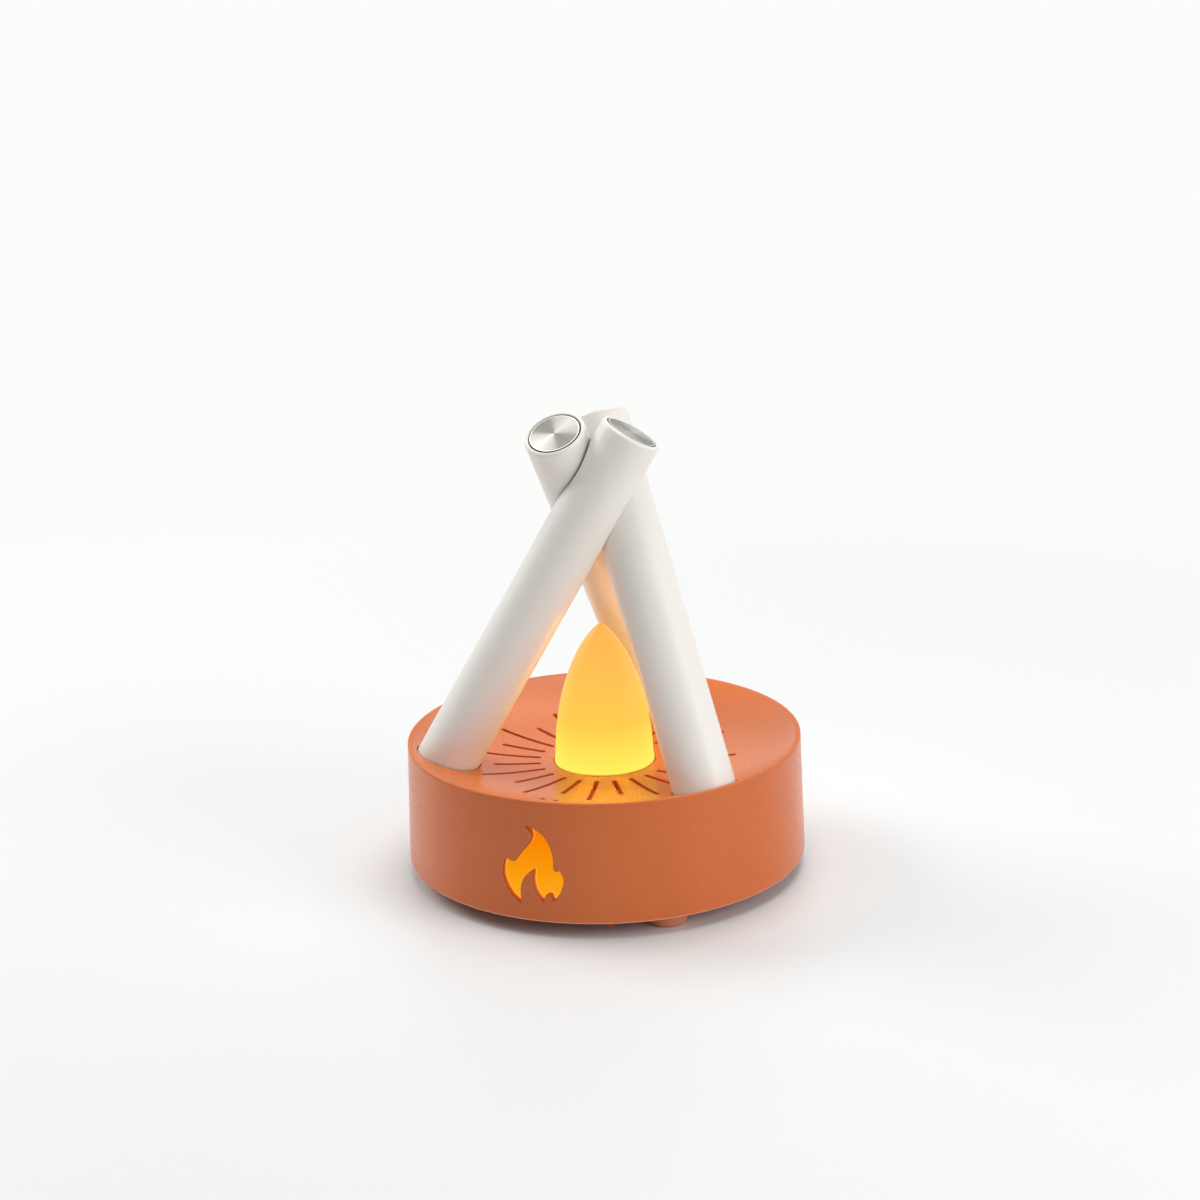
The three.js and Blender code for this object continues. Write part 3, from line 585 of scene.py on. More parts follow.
def leaningSlices(number, radius, limit, heights, sides=96):
    # At each height the leaning rod's slice is an ellipse about its axis, cut off at the limit's circle:
    # R / sqrt((cos a cos tilt)^2 + (sin a)^2), or the way to the circle where that is shorter
    origin, axes = logPlace(number)
    along = axes[:, 2]
    heights = np.asarray(heights)[:, None]
    centre = origin[:2] + (heights - origin[2]) / along[2] * along[:2]
    angle = anglesOf(sides)
    heading = math.atan2(along[1], along[0])
    ellipse = radius / np.sqrt((np.cos(angle) * math.cos(log["tilt"])) ** 2 + np.sin(angle) ** 2)
    ray = np.stack([np.cos(angle + heading), np.sin(angle + heading)], axis=-1)
    towards = centre @ ray.T
    reach = np.sqrt(towards**2 - (centre**2).sum(1)[:, None] + limit**2) - towards
    out = np.minimum(ellipse[None, :], reach)
    flat = centre[:, None] + out[..., None] * ray[None]
    level = np.broadcast_to(heights[..., None], flat.shape[:2] + (1,))
    return np.concatenate([flat, level], axis=-1)


def pocketCutter(number):
    # The leaning rod widened by the pocket's gap, from the pocket's floor to above the rim
    heights = np.linspace(log["pocketZ"], base["rimZ"] + cutter["past"], log["pocketSteps"])
    radius, limit = log["radius"] + log["pocketGap"], log["footCircle"] + log["footGap"]
    return fromRings(f"pocket{number}", leaningSlices(number, radius, limit, heights))


def logCup(number):
    # The same rod, wider by the pocket's wall and deeper by its floor, as far as it lies below the middle of
    # the deck, in a disc whose roof follows the dish
    heights = np.linspace(log["pocketZ"] - log["pocketFloor"], base["rimZ"], log["pocketSteps"])
    radius = log["radius"] + log["pocketGap"] + log["pocketWall"]
    limit = base["innerRadius"] + log["cupInWall"]
    cup = fromRings(f"cup{number}", leaningSlices(number, radius, limit, heights))
    reach = np.linspace(limit + log["roomPast"], nearAxis, base["deckSteps"])
    roof = dishHeight(np.minimum(reach, base["dishRadius"])) - base["deckThickness"] / 2
    outline = np.vstack([[[nearAxis, 0], [reach[0], 0]], np.stack([reach, roof], axis=-1)])
    return combine(cup, [turned("room", outline, log["sides"])], "INTERSECT")


def makeHousing():
    housing = turned("housing", housingProfile(), base["sides"], looped=True)
    combine(housing, [logCup(number) for number in range(len(logNames))], "UNION")
    cutters = [pocketCutter(number) for number in range(len(logNames))]
    cutters += [slotCutter(number) for number in range(slots["count"])]
    cutters += [pinholeCutter(side) for side in (-1, 1)]
    cutters += [flameCutter(), portCutter()]
    return combine(housing, cutters)


terracotta = {
    "tint": rgb(210, 106, 46),
    "shade": rgb(205, 101, 42),
    "roughness": 0.26,
    "depth": 0.003 * mm,
}
rimDullness = 0.22
# What is painted over the tint, and how much of it, in this order: a yellower dish, then painted shade and a
# painted highlight
paint = {
    "dish": (rgb(206, 109, 45), 1),
    # painted shade along the slots' rounded edges
    "slotEdgeShade": (rgb(150, 60, 26), 0.6),
    # painted shade round the flame's cut
    "cutEdgeShade": (rgb(122, 42, 12), 1),
    # a painted highlight along the wall's foot
    "footHighlight": (rgb(246, 178, 144), 0.8),
    # painted shade inside the logs' pockets and the pinholes
    "pocket": (rgb(70, 30, 14), 1),
}
# The light of the lamp in the slots' walls and of the window in the flame's cut, as emission
glow = {
    "none": (0, 0, 0, 1),
    "slotNear": (0.2, 0.02, 0.001, 1),
    "slotFar": (0.1, 0.018, 0.004, 1),
    "cutMouth": (0.12, 0.014, 0.002, 1),
    "cutDeep": (0.17, 0.016, 0.001, 1),
    "cutLine": (0.95, 0.42, 0.04, 1),
}
# Where an effect starts and is full, in mm from a place: by depth below the dish, distance from the axis,
# inset from the wall's face, height, distance beside the flame's middle or distance behind the axis
bands = {
    "belowDish": ("depth", 0, 0.2, 0.5),
    "inSlot": ("depth", 0, 0.1, 0.35),
    "underSlot": ("depth", 0, 1.6, 1.9),
    "slotEdgeShade": ("depth", 0, 0.03, 0.12),
    "inPocket": ("depth", 0, 0.03, 0.15),
    "dishEnd": ("radius", base["dishRadius"], -0.6, 0),
    "rim": ("radius", base["dishRadius"], -0.7, -0.3),
    "slotStart": ("radius", slots["start"], -0.5, -0.1),
    "slotEnd": ("radius", slots["longEnd"], 0.1, 0.5),
    "slotFar": ("radius", 0, 20, 36),
    "pocketStart": ("radius", slots["longEnd"], 1.5, 2),
    "pocketEnd": ("radius", log["footCircle"], 0.6, 1),
    "inCut": ("inset", 0, 0.1, 0.3),
    "behindCut": ("inset", 0, 2.3, 2.5),
    "cutDeep": ("inset", 0, 0.3, 1),
    "cutLine": ("inset", 0, 1.5, 1.7),
    "cutEdgeShade": ("inset", 0, 0.03, 0.09),
    "cutEdgeShadeEnd": ("inset", 0, 0.3, 0.45),
    "footHighlightDeep": ("inset", 0, 0.3, 0.5),
    "rimZ": ("height", base["rimZ"], -0.9, -0.5),
    "cutLow": ("height", flame["low"], -2, -1),
    "cutHigh": ("height", flame["high"], 1, 2),
    "footHighlight": ("height", base["standHeight"], 0.35, 0.65),
    "cutSide": ("beside", 0, 11, 11.5),
    "front": ("behind", 0, -50, -46),
}


def belowDish(finish):
    # How far a point lies below the dish, by dishHeight's formula, its distance from the axis and its height
    z = finish.axis(2)
    radius = finish.length(finish.vector("MULTIPLY", finish.place(), (1, 1, 0)))
    bowl = finish.maths("POWER", radius * (1 / base["dishRadius"]), base["dishPower"])
    return bowl * base["dishDepth"] + base["deckZ"] - z, radius, z


def terracottaFinish():
    finish = mouldedFinish("terracotta", **terracotta, specular_ior_level=0.4, emission_strength=1.0)
    depth, radius, z = belowDish(finish)
    wall = base["rimRadius"] + (base["rimZ"] - z) * (base["skirtFlare"] / base["wallHeight"])
    ways = {"depth": depth, "radius": radius, "inset": wall - radius, "height": z}
    ways.update(beside=finish.maths("ABSOLUTE", finish.axis(0)), behind=finish.axis(1))

    def past(name):
        # 0 before the band and 1 after it
        way, place, start, full = bands[name]
        return finish.over(ways[way], (place + start * mm, place + full * mm))

    atSlots = past("slotStart") - past("slotEnd")
    atFlame = (past("cutLow") - past("cutHigh")) * (1 - past("cutSide")) * (1 - past("front"))
    # Painted glow, as emission: the lamp's light through the slots' walls, and the lens's light in the
    # flame's cut, brightest next to it
    slotLight = finish.mix(past("slotFar"), glow["slotNear"], glow["slotFar"])
    cutLight = finish.mix(past("cutDeep"), glow["cutMouth"], glow["cutDeep"])
    cutLight = finish.mix(past("cutLine"), cutLight, glow["cutLine"])
    light = finish.mix((past("inSlot") - past("underSlot")) * atSlots, glow["none"], slotLight)
    light = finish.mix((past("inCut") - past("behindCut")) * atFlame, light, cutLight)
    finish.feed("Emission Color", light)
    # The rim is worn a little duller than the rest
    rim = past("rim") * past("rimZ")
    finish.feed("Roughness", finish.fed("Roughness") + rim * rimDullness)
    # The dish is a little yellower; painted shade darkens the rounded edges of the slots and of the flame's
    # cut, a painted highlight runs along the wall's foot, and painted shade dims the logs' pockets and the
    # pinholes inside
    masks = {
        "dish": (1 - past("belowDish")) * (1 - past("dishEnd")),
        "slotEdgeShade": past("slotEdgeShade") * atSlots,
        "cutEdgeShade": (past("cutEdgeShade") - past("cutEdgeShadeEnd")) * atFlame,
        "footHighlight": (1 - past("footHighlight")) * (1 - past("footHighlightDeep")),
        "pocket": past("inPocket") * (past("pocketStart") - past("pocketEnd")),
    }
    tint = finish.fed("Base Color")
    for layer, (colour, share) in paint.items():
        tint = finish.mix(masks[layer] * share, tint, colour)
    finish.feed("Base Color", tint)
    return finish.material


finished(makeHousing(), "base", terracottaFinish(), "base_housing")
print("housing made")


def logSurface(number):
    # The rings start level, just above the pocket's floor, at w = (z - z0 - R cos a Xz) / Zz, and even out
    # to square ones. Above them the profile is turned about the log's axis, over the lip and down the bore.
    origin, axes = logPlace(number)
    radius, top, edge = log["radius"], log["overhang"], log["edge"]
    bore, floorZ = button["bore"], top - button["depth"]
    angle = anglesOf(log["sides"])
    floor = (log["footZ"] - origin[2] - radius * np.cos(angle) * axes[2, 0]) / axes[2, 2]
    square = floor.max() + log["footRise"]
    share = np.linspace(0, 1, log["footSteps"])[:, None]
    low = floor + share * (square - floor)
    shaft = np.linspace(square, top - edge, log["shaftSteps"])[1:]
    lip = np.linspace(0, turn / 4, log["lipSteps"])[1:]
    bored = [[radius - edge, top], [bore, top], [bore, floorZ], [nearAxis, floorZ]]
    profile = np.vstack([
        np.stack([np.full_like(shaft, radius), shaft], axis=-1),
        np.stack([radius - edge + edge * np.cos(lip), top - edge + edge * np.sin(lip)], axis=-1),
        softened(bored, [0, button["lip"], 0, 0])[1:],
    ])
    rings = [aroundAxis(radius, angle, low), aroundAxis(profile[:, :1], angle, profile[:, 1:])]
    world = origin + np.concatenate(rings) @ axes.T
    # A point beyond the foot's circle moves level towards the log's axis, as far as the circle: the share of
    # its way that it keeps solves a s^2 + 2 b s + c = 0
    centre = origin[:2] + (world[..., 2:] - origin[2]) / axes[2, 2] * axes[:2, 2]
    step = world[..., :2] - centre
    a, b = (step**2).sum(-1), (step * centre).sum(-1)
    c = (centre**2).sum(-1) - log["footCircle"] ** 2
    share = np.where(c < 0, (np.sqrt(np.maximum(b * b - a * c, 0)) - b) / np.maximum(a, nothing), 1)
    world[..., :2] = centre + step * np.minimum(share, 1)[..., None]
    return fromRings(f"log{logNames[number].upper()}", world)


rod = {"low": -120 * mm, "high": 60 * mm, "steps": 40, "sides": 216}


def rodAlong(name, number, radius):
    # A cylinder about the log's axis, past both its ends
    ends = np.linspace(rod["low"], rod["high"], rod["steps"])
    profile = np.stack([np.full_like(ends, radius), ends], axis=-1)
    return turned(name, profile, rod["sides"], logPlace(number))


def squareTo(axis, vectors):
    # What the vectors keep without their share along the axis
    return vectors - (vectors @ axis)[..., None] * axis


bead = {"sides": 360, "arcSteps": 9, "past": 0.06, "outside": 0.5 * mm}


def copeBead(number):
    # The cope's edge is where a line along this log's side meets the other log's widened round, a quadratic
    # in w. Round that closed curve goes a slim ring whose inner side is an arc that touches both surfaces.
    (origin, axes), (other, otherAxes) = logPlace(number), logPlace(number - 1)
    along, across = axes[:, 2], otherAxes[:, 2]
    radius, edge = log["radius"], log["copeEdge"]
    reach = radius + log["copeGaps"][number]
    common = np.cross(along, across)
    sine = np.linalg.norm(common)
    common /= sine
    distance = (origin - other) @ common
    middle = math.atan2(common @ axes[:, 1], common @ axes[:, 0]) + (math.pi if distance > 0 else 0)
    half = math.pi - math.acos((reach - abs(distance)) / radius)
    s = anglesOf(bead["sides"])
    u = middle + half * np.sin(s)
    normal = np.cos(u)[:, None] * axes[:, 0] + np.sin(u)[:, None] * axes[:, 1]
    start = origin + radius * normal
    beside, lead = squareTo(across, start - other), squareTo(across, along)
    nearness = np.maximum(reach**2 - (beside @ common) ** 2, 0)
    w = (-(beside @ lead) + np.sign(np.cos(s)) * sine * np.sqrt(nearness)) / sine**2
    points = start + w[:, None] * along
    inward = unit(squareTo(across, other - points))
    both = (normal + inward) / (1 + (normal * inward).sum(1))[:, None]
    t = np.linspace(-bead["past"], 1 + bead["past"], bead["arcSteps"])[:, None, None]
    arc = points - edge * both + edge * unit(normal * (1 - t) + inward * t)
    outer = points + bead["outside"] * both
    rings = np.concatenate([arc, outer[None]]).transpose(1, 0, 2)
    facing = np.cross(arc[0, 0] - outer[0], arc[-1, 0] - outer[0])
    if facing @ (points[1] - points[0]) < 0:
        rings = rings[:, ::-1]
    return fromRings("bead", rings, looped=True)


def makeLog(number):
    # C's cope round B leaves out A's rod: A is coped round C there, and the cut would open a gap beside it
    piece = logSurface(number)
    cope = rodAlong("cope", number - 1, log["radius"] + log["copeGaps"][number])
    if number == len(logNames) - 1:
        cope = combine(cope, [rodAlong("core", number + 1, log["radius"])])
    return combine(piece, [cope, copeBead(number)])


whiteLook = {"tint": rgb(237, 233, 226), "shade": rgb(233, 229, 222), "roughness": 0.4}
# Painted shade on the logs: its colour and where it starts and is full
paintedLogShade = {
    "tint": rgb(34, 24, 16),
    "depth": (0.1 * mm, 0.5 * mm),
    "covered": (log["radius"] - 0.3 * mm, log["radius"]),
    "ownCope": (0.1 * mm, 0.32 * mm),
}


def fromAxis(finish, number):
    # How far a point lies from a log's axis: the length of the cross product with the axis
    origin, axes = logPlace(number)
    away = finish.vector("SUBTRACT", finish.place(), tuple(origin))
    return finish.length(finish.vector("CROSS_PRODUCT", away, tuple(axes[:, 2])))


def logPlastic(number):
    # A log is painted dark, as shade, below the dish, where the next log's cope covers it and, for A and C,
    # inside its own cope
    finish = mouldedFinish(f"warmWhite{logNames[number].upper()}", **whiteLook)
    outside = 1 - finish.over(belowDish(finish)[0], paintedLogShade["depth"])
    outside = outside * finish.over(fromAxis(finish, number + 1), paintedLogShade["covered"])
    if logNames[number] != "b":
        beyond = fromAxis(finish, number - 1) - (log["radius"] + log["copeGaps"][number])
        outside = outside * finish.over(beyond, paintedLogShade["ownCope"])
    finish.feed("Base Color", finish.mix(outside, paintedLogShade["tint"], finish.fed("Base Color")))
    return finish.material


whitePlastic = moulded("warmWhite", **whiteLook)
for number, name in enumerate(logNames):
    finished(makeLog(number), "base", logPlastic(number), f"log_{name}")
print("logs made")


# The buttons' discs of spun metal: painted reflections in two dark and two bright fan-shaped sectors about
# the axis, under fine turned rings
spun = {
    "paintedFans": [
        (0.0, rgb(150, 146, 139)),
        (0.28, rgb(160, 156, 149)),
        (0.48, rgb(214, 209, 202)),
        (0.78, rgb(236, 232, 226)),
        (0.93, rgb(249, 246, 240)),
        (1.0, rgb(251, 248, 242)),
    ],
    "shade": rgb(150, 146, 139),
    "edgeHighlight": rgb(222, 217, 209),
    "sideShade": rgb(52, 46, 40),
    "fanTurns": [157, 110, 65],  # degrees about the axis, for discs A, B and C
    # how bright each disc's painted reflection is; A's is painted darker, as shade
    "paintedBrightness": [0.5, 0.95, 0.95],
    "shadedSide": 60,  # the middle of the side painted darker as shade, in degrees on from the turn of the fan pattern
    "shadedShare": 0.12,
    "ringSpacing": 0.2 * mm,
    "ringRange": (0.35, 0.75),
    "ringShare": 0.2,
    "ringDepth": 0.003 * mm,
    "roughness": 0.24,
    "ringRoughness": 0.1,
    "edgeRoughness": 0.25,
    "edge": (button["disc"] - 0.4 * mm, button["disc"] - 0.2 * mm),
    "top": (-0.06 * mm, -0.02 * mm),
}


def spunMetalPaintedFans(number, centre, axes):
    finish = Finish(f"spunMetalPaintedFans{logNames[number].upper()}", metallic=1.0)
    away = finish.vector("SUBTRACT", finish.place(), tuple(centre))
    x, y, rise = (finish.vector("DOT_PRODUCT", away, tuple(axes[:, i])) for i in range(3))
    radius = finish.length(finish.add("ShaderNodeCombineXYZ", values={0: x, 1: y}))
    angle = finish.maths("ARCTAN2", y, x) - math.radians(spun["fanTurns"][number])
    # The painted reflection: 0 in the middle of a dark fan and 1 in the middle of a bright one, a quarter
    # turn on
    folded = finish.maths("PINGPONG", angle, turn / 4) * (4 / turn)
    paintedFans = finish.add("ShaderNodeValToRGB", {"stops": spun["paintedFans"]}, {0: folded})
    # One side of the pattern is painted darker, as shade
    side = finish.maths("COSINE", angle - math.radians(spun["shadedSide"]))
    paintedFans = finish.mix((side + 1) * spun["shadedShare"], paintedFans, spun["shade"])
    lines = {"W": radius, "Scale": 1 / spun["ringSpacing"], "Detail": 2}
    rings = finish.add("ShaderNodeTexNoise", {"noise_dimensions": "1D"}, lines)
    face = finish.mix(finish.over(rings, spun["ringRange"]) * spun["ringShare"], paintedFans, spun["shade"])
    # Each disc's painted reflection is scaled to its own brightness
    tone = {0: face, "Scale": spun["paintedBrightness"][number]}
    face = finish.add("ShaderNodeVectorMath", {"operation": "SCALE"}, tone)
    # A painted highlight near the rim
    edge = finish.over(radius, spun["edge"])
    face = finish.mix(edge, face, spun["edgeHighlight"])
    # Painted shade on the disc's side, below its top
    finish.feed("Base Color", finish.mix(finish.over(rise, spun["top"]), spun["sideShade"], face))
    finish.feed("Normal", finish.bump(rings, spun["ringDepth"]))
    dull = rings * spun["ringRoughness"] + edge * spun["edgeRoughness"]
    finish.feed("Roughness", spun["roughness"] + dull)
    return finish.material


def makeDisc(number):
    # The disc's section, a rectangle with rounded outer corners, turned about the log's axis
    origin, axes = logPlace(number)
    top = log["overhang"] - button["recess"]
    low = top - button["thickness"]
    corners = [[nearAxis, low], [button["disc"], low], [button["disc"], top], [nearAxis, top]]
    profile = softened(corners, [0, button["edge"], button["edge"], 0])
    disc = turned(f"disc{logNames[number].upper()}", profile, log["sides"], (origin, axes))
    metal = spunMetalPaintedFans(number, origin + top * axes[:, 2], axes)
    name = logNames[number]
    finished(disc, f"button_{name}", metal, f"button_disc_{name}", angle=60)


for number in range(len(logNames)):
    makeDisc(number)
print("buttons made")


# Lamp
lamp = {
    "radius": 15 * mm,
    "height": 43.8 * mm,
    "power": 2.14,
    "roundness": 0.744,
    "wall": 1.6 * mm,
    "neck": 0.3 * mm,
    "flange": 2.7 * mm,
    "flangeGap": 0.3 * mm,
    "step": 0.2 * mm,
    "stepCut": 0.3 * mm,
    "shares": (0.03, 0.985),
    "steps": 90,
    "crowding": 2.2,
    "tip": 0.01 * mm,
    "sides": 144,
}
lampLow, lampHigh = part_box("lamp_diffuser")


def lampCurve(share, inset=0):
    # r = R (1 - share ^ power) ^ roundness at the height share H
    radius = (lamp["radius"] - inset) * (1 - share ** lamp["power"]) ** lamp["roundness"]
    return np.stack([radius, base["deckZ"] + share * (lamp["height"] - inset)], axis=-1)


def makeLamp():
    # The flange under the deck, the neck through its hole, then the curve up outside and down inside, whose
    # points stand closer towards the tip: the share of the height is 1 - (1 - s) ^ crowding
    share = 1 - (1 - np.linspace(*lamp["shares"], lamp["steps"])) ** lamp["crowding"]
    radius, low = lamp["radius"], lampLow.z
    bore, rim, neck = radius - lamp["wall"], radius + lamp["flange"], radius + lamp["neck"]
    under = base["deckZ"] - base["deckThickness"] - lamp["flangeGap"]
    step = base["deckZ"] + lamp["step"]
    flange = [[bore, low], [rim, low], [rim, under], [neck, under], [neck, step]]
    corners = np.vstack([flange, lampCurve(share), lampCurve(share, lamp["wall"])[::-1]])
    cuts = np.zeros(len(corners))
    cuts[len(flange) - 1] = lamp["stepCut"]
    profile = softened(corners, cuts)
    # The tip closes in a small cap inside and out
    top = base["deckZ"] + lamp["height"]
    caps = [[lamp["tip"], top], [lamp["tip"], top - lamp["wall"]]]
    profile = np.insert(profile, np.argmax(profile[:, 1]) + 1, caps, axis=0)
    return turned("lamp", profile, lamp["sides"], looped=True)


cloud = {"scale": 60, "sway": 1 * mm}


def litPlastic(name, low, high, stops, body, roughness, gloss):
    # Translucent plastic lit from inside: the glow's colour changes with the height, faintly clouded
    fixed = {"base_color": body, "roughness": roughness, "specular_ior_level": gloss}
    finish = Finish(name, **fixed, emission_strength=1.0)
    height = finish.axis(2) + (finish.noise(cloud["scale"]) - 0.5) * cloud["sway"]
    share = finish.add("ShaderNodeMapRange", values={0: height, 1: low, 2: high})
    finish.feed("Emission Color", finish.add("ShaderNodeValToRGB", {"stops": stops}, {0: share}))
    return finish.material


lampStops = [
    (0.0, rgb(120, 44, 6)),
    (0.079, rgb(186, 96, 12)),
    (0.089, rgb(251, 239, 95)),
    (0.17, rgb(252, 232, 88)),
    (0.4, rgb(252, 202, 74)),
    (0.68, rgb(251, 191, 78)),
    (1.0, rgb(250, 178, 80)),
]
lampLook = {"body": rgb(60, 40, 10), "roughness": 0.5, "gloss": 0.3}
lampGlow = litPlastic("lampGlow", lampLow.z, lampHigh.z, lampStops, **lampLook)
lampPiece = finished(makeLamp(), "base", lampGlow, "lamp_diffuser")
lampPiece.visible_shadow = False  # its light stands inside it
print("lamp made")


# Flame window's lens: a strip of the wall's own curve
lens = {"halfWidth": 12 * mm, "thickness": 1.8 * mm, "gap": 0.3 * mm, "edge": 0.3 * mm, "steps": 48}
lensLow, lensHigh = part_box("flame_window_lens")


def makeLens():
    # The section, a rectangle with soft corners, is carried from right to left round the axis, along the
    # wall's inner face
    outer = lens["gap"]
    inner = outer + lens["thickness"]
    corners = [[inner, lensLow.z], [outer, lensLow.z], [outer, lensHigh.z], [inner, lensHigh.z]]
    section = softened(corners, [lens["edge"]] * 4)
    reach = math.asin(lens["halfWidth"] / (base["innerRadius"] - inner))
    angle = np.linspace(-turn / 4 + reach, -turn / 4 - reach, lens["steps"])[:, None]
    radius = wallRadius(section[:, 1], base["wallThickness"]) - section[:, 0]
    return fromRings("flameLens", aroundAxis(radius, angle, section[:, 1]))


windowStops = [
    (0.0, rgb(252, 170, 28)),
    (0.4, rgb(250, 153, 12)),
    (0.75, rgb(248, 137, 2)),
    (1.0, rgb(246, 125, 0)),
]
windowLook = {"body": rgb(12, 4, 1), "roughness": 0.6, "gloss": 0.02}
windowGlow = litPlastic("windowGlow", flame["low"], flame["high"], windowStops, **windowLook)
finished(makeLens(), "base", windowGlow, "flame_window_lens")
print("flame window made")


# Bottom cover and feet
cover = {
    "thickness": 2.2 * mm,
    "gap": 0.3 * mm,
    "edge": 0.4 * mm,
    "recess": 0.8 * mm,
    "sides": 216,
    "recessSides": 72,
}
pip = {
    "radius": 1.05 * mm,
    "drop": 2.5 * mm,
    "inset": 1.2 * mm,
    "edge": 0.35 * mm,
    "sides": 32,
    "turn": turn / 16,  # round from a quadrant's start
}
foot = {
    "radius": 6 * mm,
    "edge": 1.3 * mm,
    "topEdge": 0.2 * mm,
    "inset": 0.96 * mm,
    "sides": 96,
    "turn": turn / 8 - 0.061,
}
cover["radius"] = base["innerRadius"] + base["skirtFlare"] - cover["gap"]
for part in (foot, pip):
    part["circle"] = cover["radius"] - part["radius"] - part["inset"]
quadrants = ["rear_right", "rear_left", "front_left", "front_right"]


def turnedDisc(name, radius, low, high, edges, sides, spot=(0, 0, 0)):
    # A rectangle, whose lower and upper corners are rounded by the edges, turned about an upright axis
    inner = radius / 8
    corners = [[inner, low], [radius, low], [radius, high], [inner, high]]
    return turned(name, softened(corners, [0, *edges, 0]), sides, (np.array(spot), np.eye(3)))


def spotOf(part, quadrant):
    angle = part["turn"] + quadrant * turn / 4
    return part["circle"] * math.cos(angle), part["circle"] * math.sin(angle), 0


def makeCover():
    # A disc with a pip in each quadrant, and a recess for each foot
    low, past, edge = base["standHeight"], cutter["past"], cover["edge"]
    top = low + cover["thickness"]
    piece = turnedDisc("bottomCover", cover["radius"], low, top, [edge, edge], cover["sides"])
    pips, recesses = [], []
    for i in range(4):
        shape = pip["radius"], low - pip["drop"], low + past, [pip["edge"], 0], pip["sides"]
        pips.append(turnedDisc(f"pip{i}", *shape, spotOf(pip, i)))
        radius, high = foot["radius"] + cover["gap"], low + cover["recess"]
        shape = radius, low - past, high, [0, 0], cover["recessSides"]
        recesses.append(turnedDisc(f"recess{i}", *shape, spotOf(foot, i)))
    combine(piece, pips, "UNION")
    return combine(piece, recesses)


def makeFoot(i):
    high = base["standHeight"] + cover["recess"] - cover["gap"]
    edges = [foot["edge"], foot["topEdge"]]
    return turnedDisc(f"foot{i}", foot["radius"], 0, high, edges, foot["sides"], spotOf(foot, i))


coverLook = {"tint": rgb(176, 78, 42), "shade": rgb(168, 72, 38), "roughness": 0.6, "depth": 0.012 * mm}
rubberLook = {"tint": rgb(214, 130, 100), "shade": rgb(202, 120, 90), "roughness": 0.6, "depth": 0.02 * mm}
finished(makeCover(), "base", moulded("darkTerracotta", **coverLook), "bottom_cover")
footRubber = moulded("footRubber", **rubberLook, grain=0.4 * mm)
for i, quadrant in enumerate(quadrants):
    finished(makeFoot(i), "base", footRubber, f"foot_{quadrant}")
print("cover and feet made")


# Charging socket: each step is an inset from its outline and a place along it
socket = {"shell": 0.3 * mm, "floor": 1 * mm, "lip": 0.1 * mm, "innerLip": 0.05 * mm, "steps": 14}
tongue = {
    "width": 6.7 * mm,
    "thickness": 0.7 * mm,
    "length": 5 * mm,
    "root": 0.2 * mm,
    "tip": [(0, -0.25 * mm), (0.12 * mm, -0.06 * mm), (0.2 * mm, 0)],
    "flatter": 0.8,
    "steps": 8,
}


def stadiumStack(name, halfWidth, halfHeight, steps, points, flatter=1):
    # A stadium that shrinks by each step's inset and moves to its place in depth
    rings = []
    for inset, y in steps:
        outline = stadium(halfWidth - inset, halfHeight - inset * flatter, points)
        rings.append(np.stack([-outline[:, 0], 0 * outline[:, 0] + y, outline[:, 1] + port["z"]], axis=-1))
    return fromRings(name, rings)


def makeSocket():
    # Along the outside to the mouth, over its lip and down inside to the floor
    mouth, back = port["mouth"], port["back"]
    shell, lip, innerLip = socket["shell"], socket["lip"], socket["innerLip"]
    steps = [(0, back), (0, mouth - lip), (lip, mouth), (shell - innerLip, mouth)]
    steps += [(shell, mouth - innerLip), (shell, back + socket["floor"])]
    return stadiumStack("socketShell", port["width"] / 2, port["height"] / 2, steps, socket["steps"])


def makeTongue():
    floor = port["back"] + socket["floor"]
    steps = [(0, floor - tongue["root"])]
    steps += [(inset, floor + tongue["length"] + y) for inset, y in tongue["tip"]]
    width, thickness = tongue["width"] / 2, tongue["thickness"] / 2
    return stadiumStack("socketTongue", width, thickness, steps, tongue["steps"], tongue["flatter"])


brushed = {
    "tint": rgb(188, 187, 184),
    "shade": rgb(160, 159, 156),
    "roughness": 0.22,
    "streakRoughness": 0.15,
    "streaks": (2500, 300, 2500),
    "depth": 0.004 * mm,
}


def brushedSteel():
    # Noise drawn out from the front to the back
    finish = Finish("platedSteel", metallic=1.0)
    drawn = finish.vector("MULTIPLY", finish.place(), brushed["streaks"])
    streaks = finish.noise(1, detail=3, roughness=0.6, vector=drawn)
    finish.feed("Base Color", finish.mix(streaks, brushed["tint"], brushed["shade"]))
    finish.feed("Roughness", brushed["roughness"] + streaks * brushed["streakRoughness"])
    finish.feed("Normal", finish.bump(streaks, brushed["depth"]))
    return finish.material


steel = brushedSteel()
blackLook = {"tint": rgb(38, 36, 34), "shade": rgb(30, 29, 28), "roughness": 0.5}
blackPlastic = moulded("blackPlastic", **blackLook)
finished(makeSocket(), "base", steel, "charging_socket")
finished(makeTongue(), "base", blackPlastic)
print("charging socket made")


# Finishes of the pieces inside, which keep their own solids
board = {
    "bricks": [rgb(26, 92, 58), rgb(36, 112, 72), rgb(20, 74, 48)],
    "scale": 600,
    "roughness": 0.35,
    "patch": 2.5 * mm,
    "patchRoughness": 0.2,
}
cloth = {
    "low": rgb(132, 60, 26),
    "high": rgb(182, 90, 44),
    "roughness": 0.9,
    "waves": 900,
    "depth": 0.05 * mm,
    "nearGlow": (0.42, 0.045, 0.003, 1),
    "farGlow": (0.26, 0.045, 0.008, 1),
    "glow": (34 * mm, 54 * mm),
}


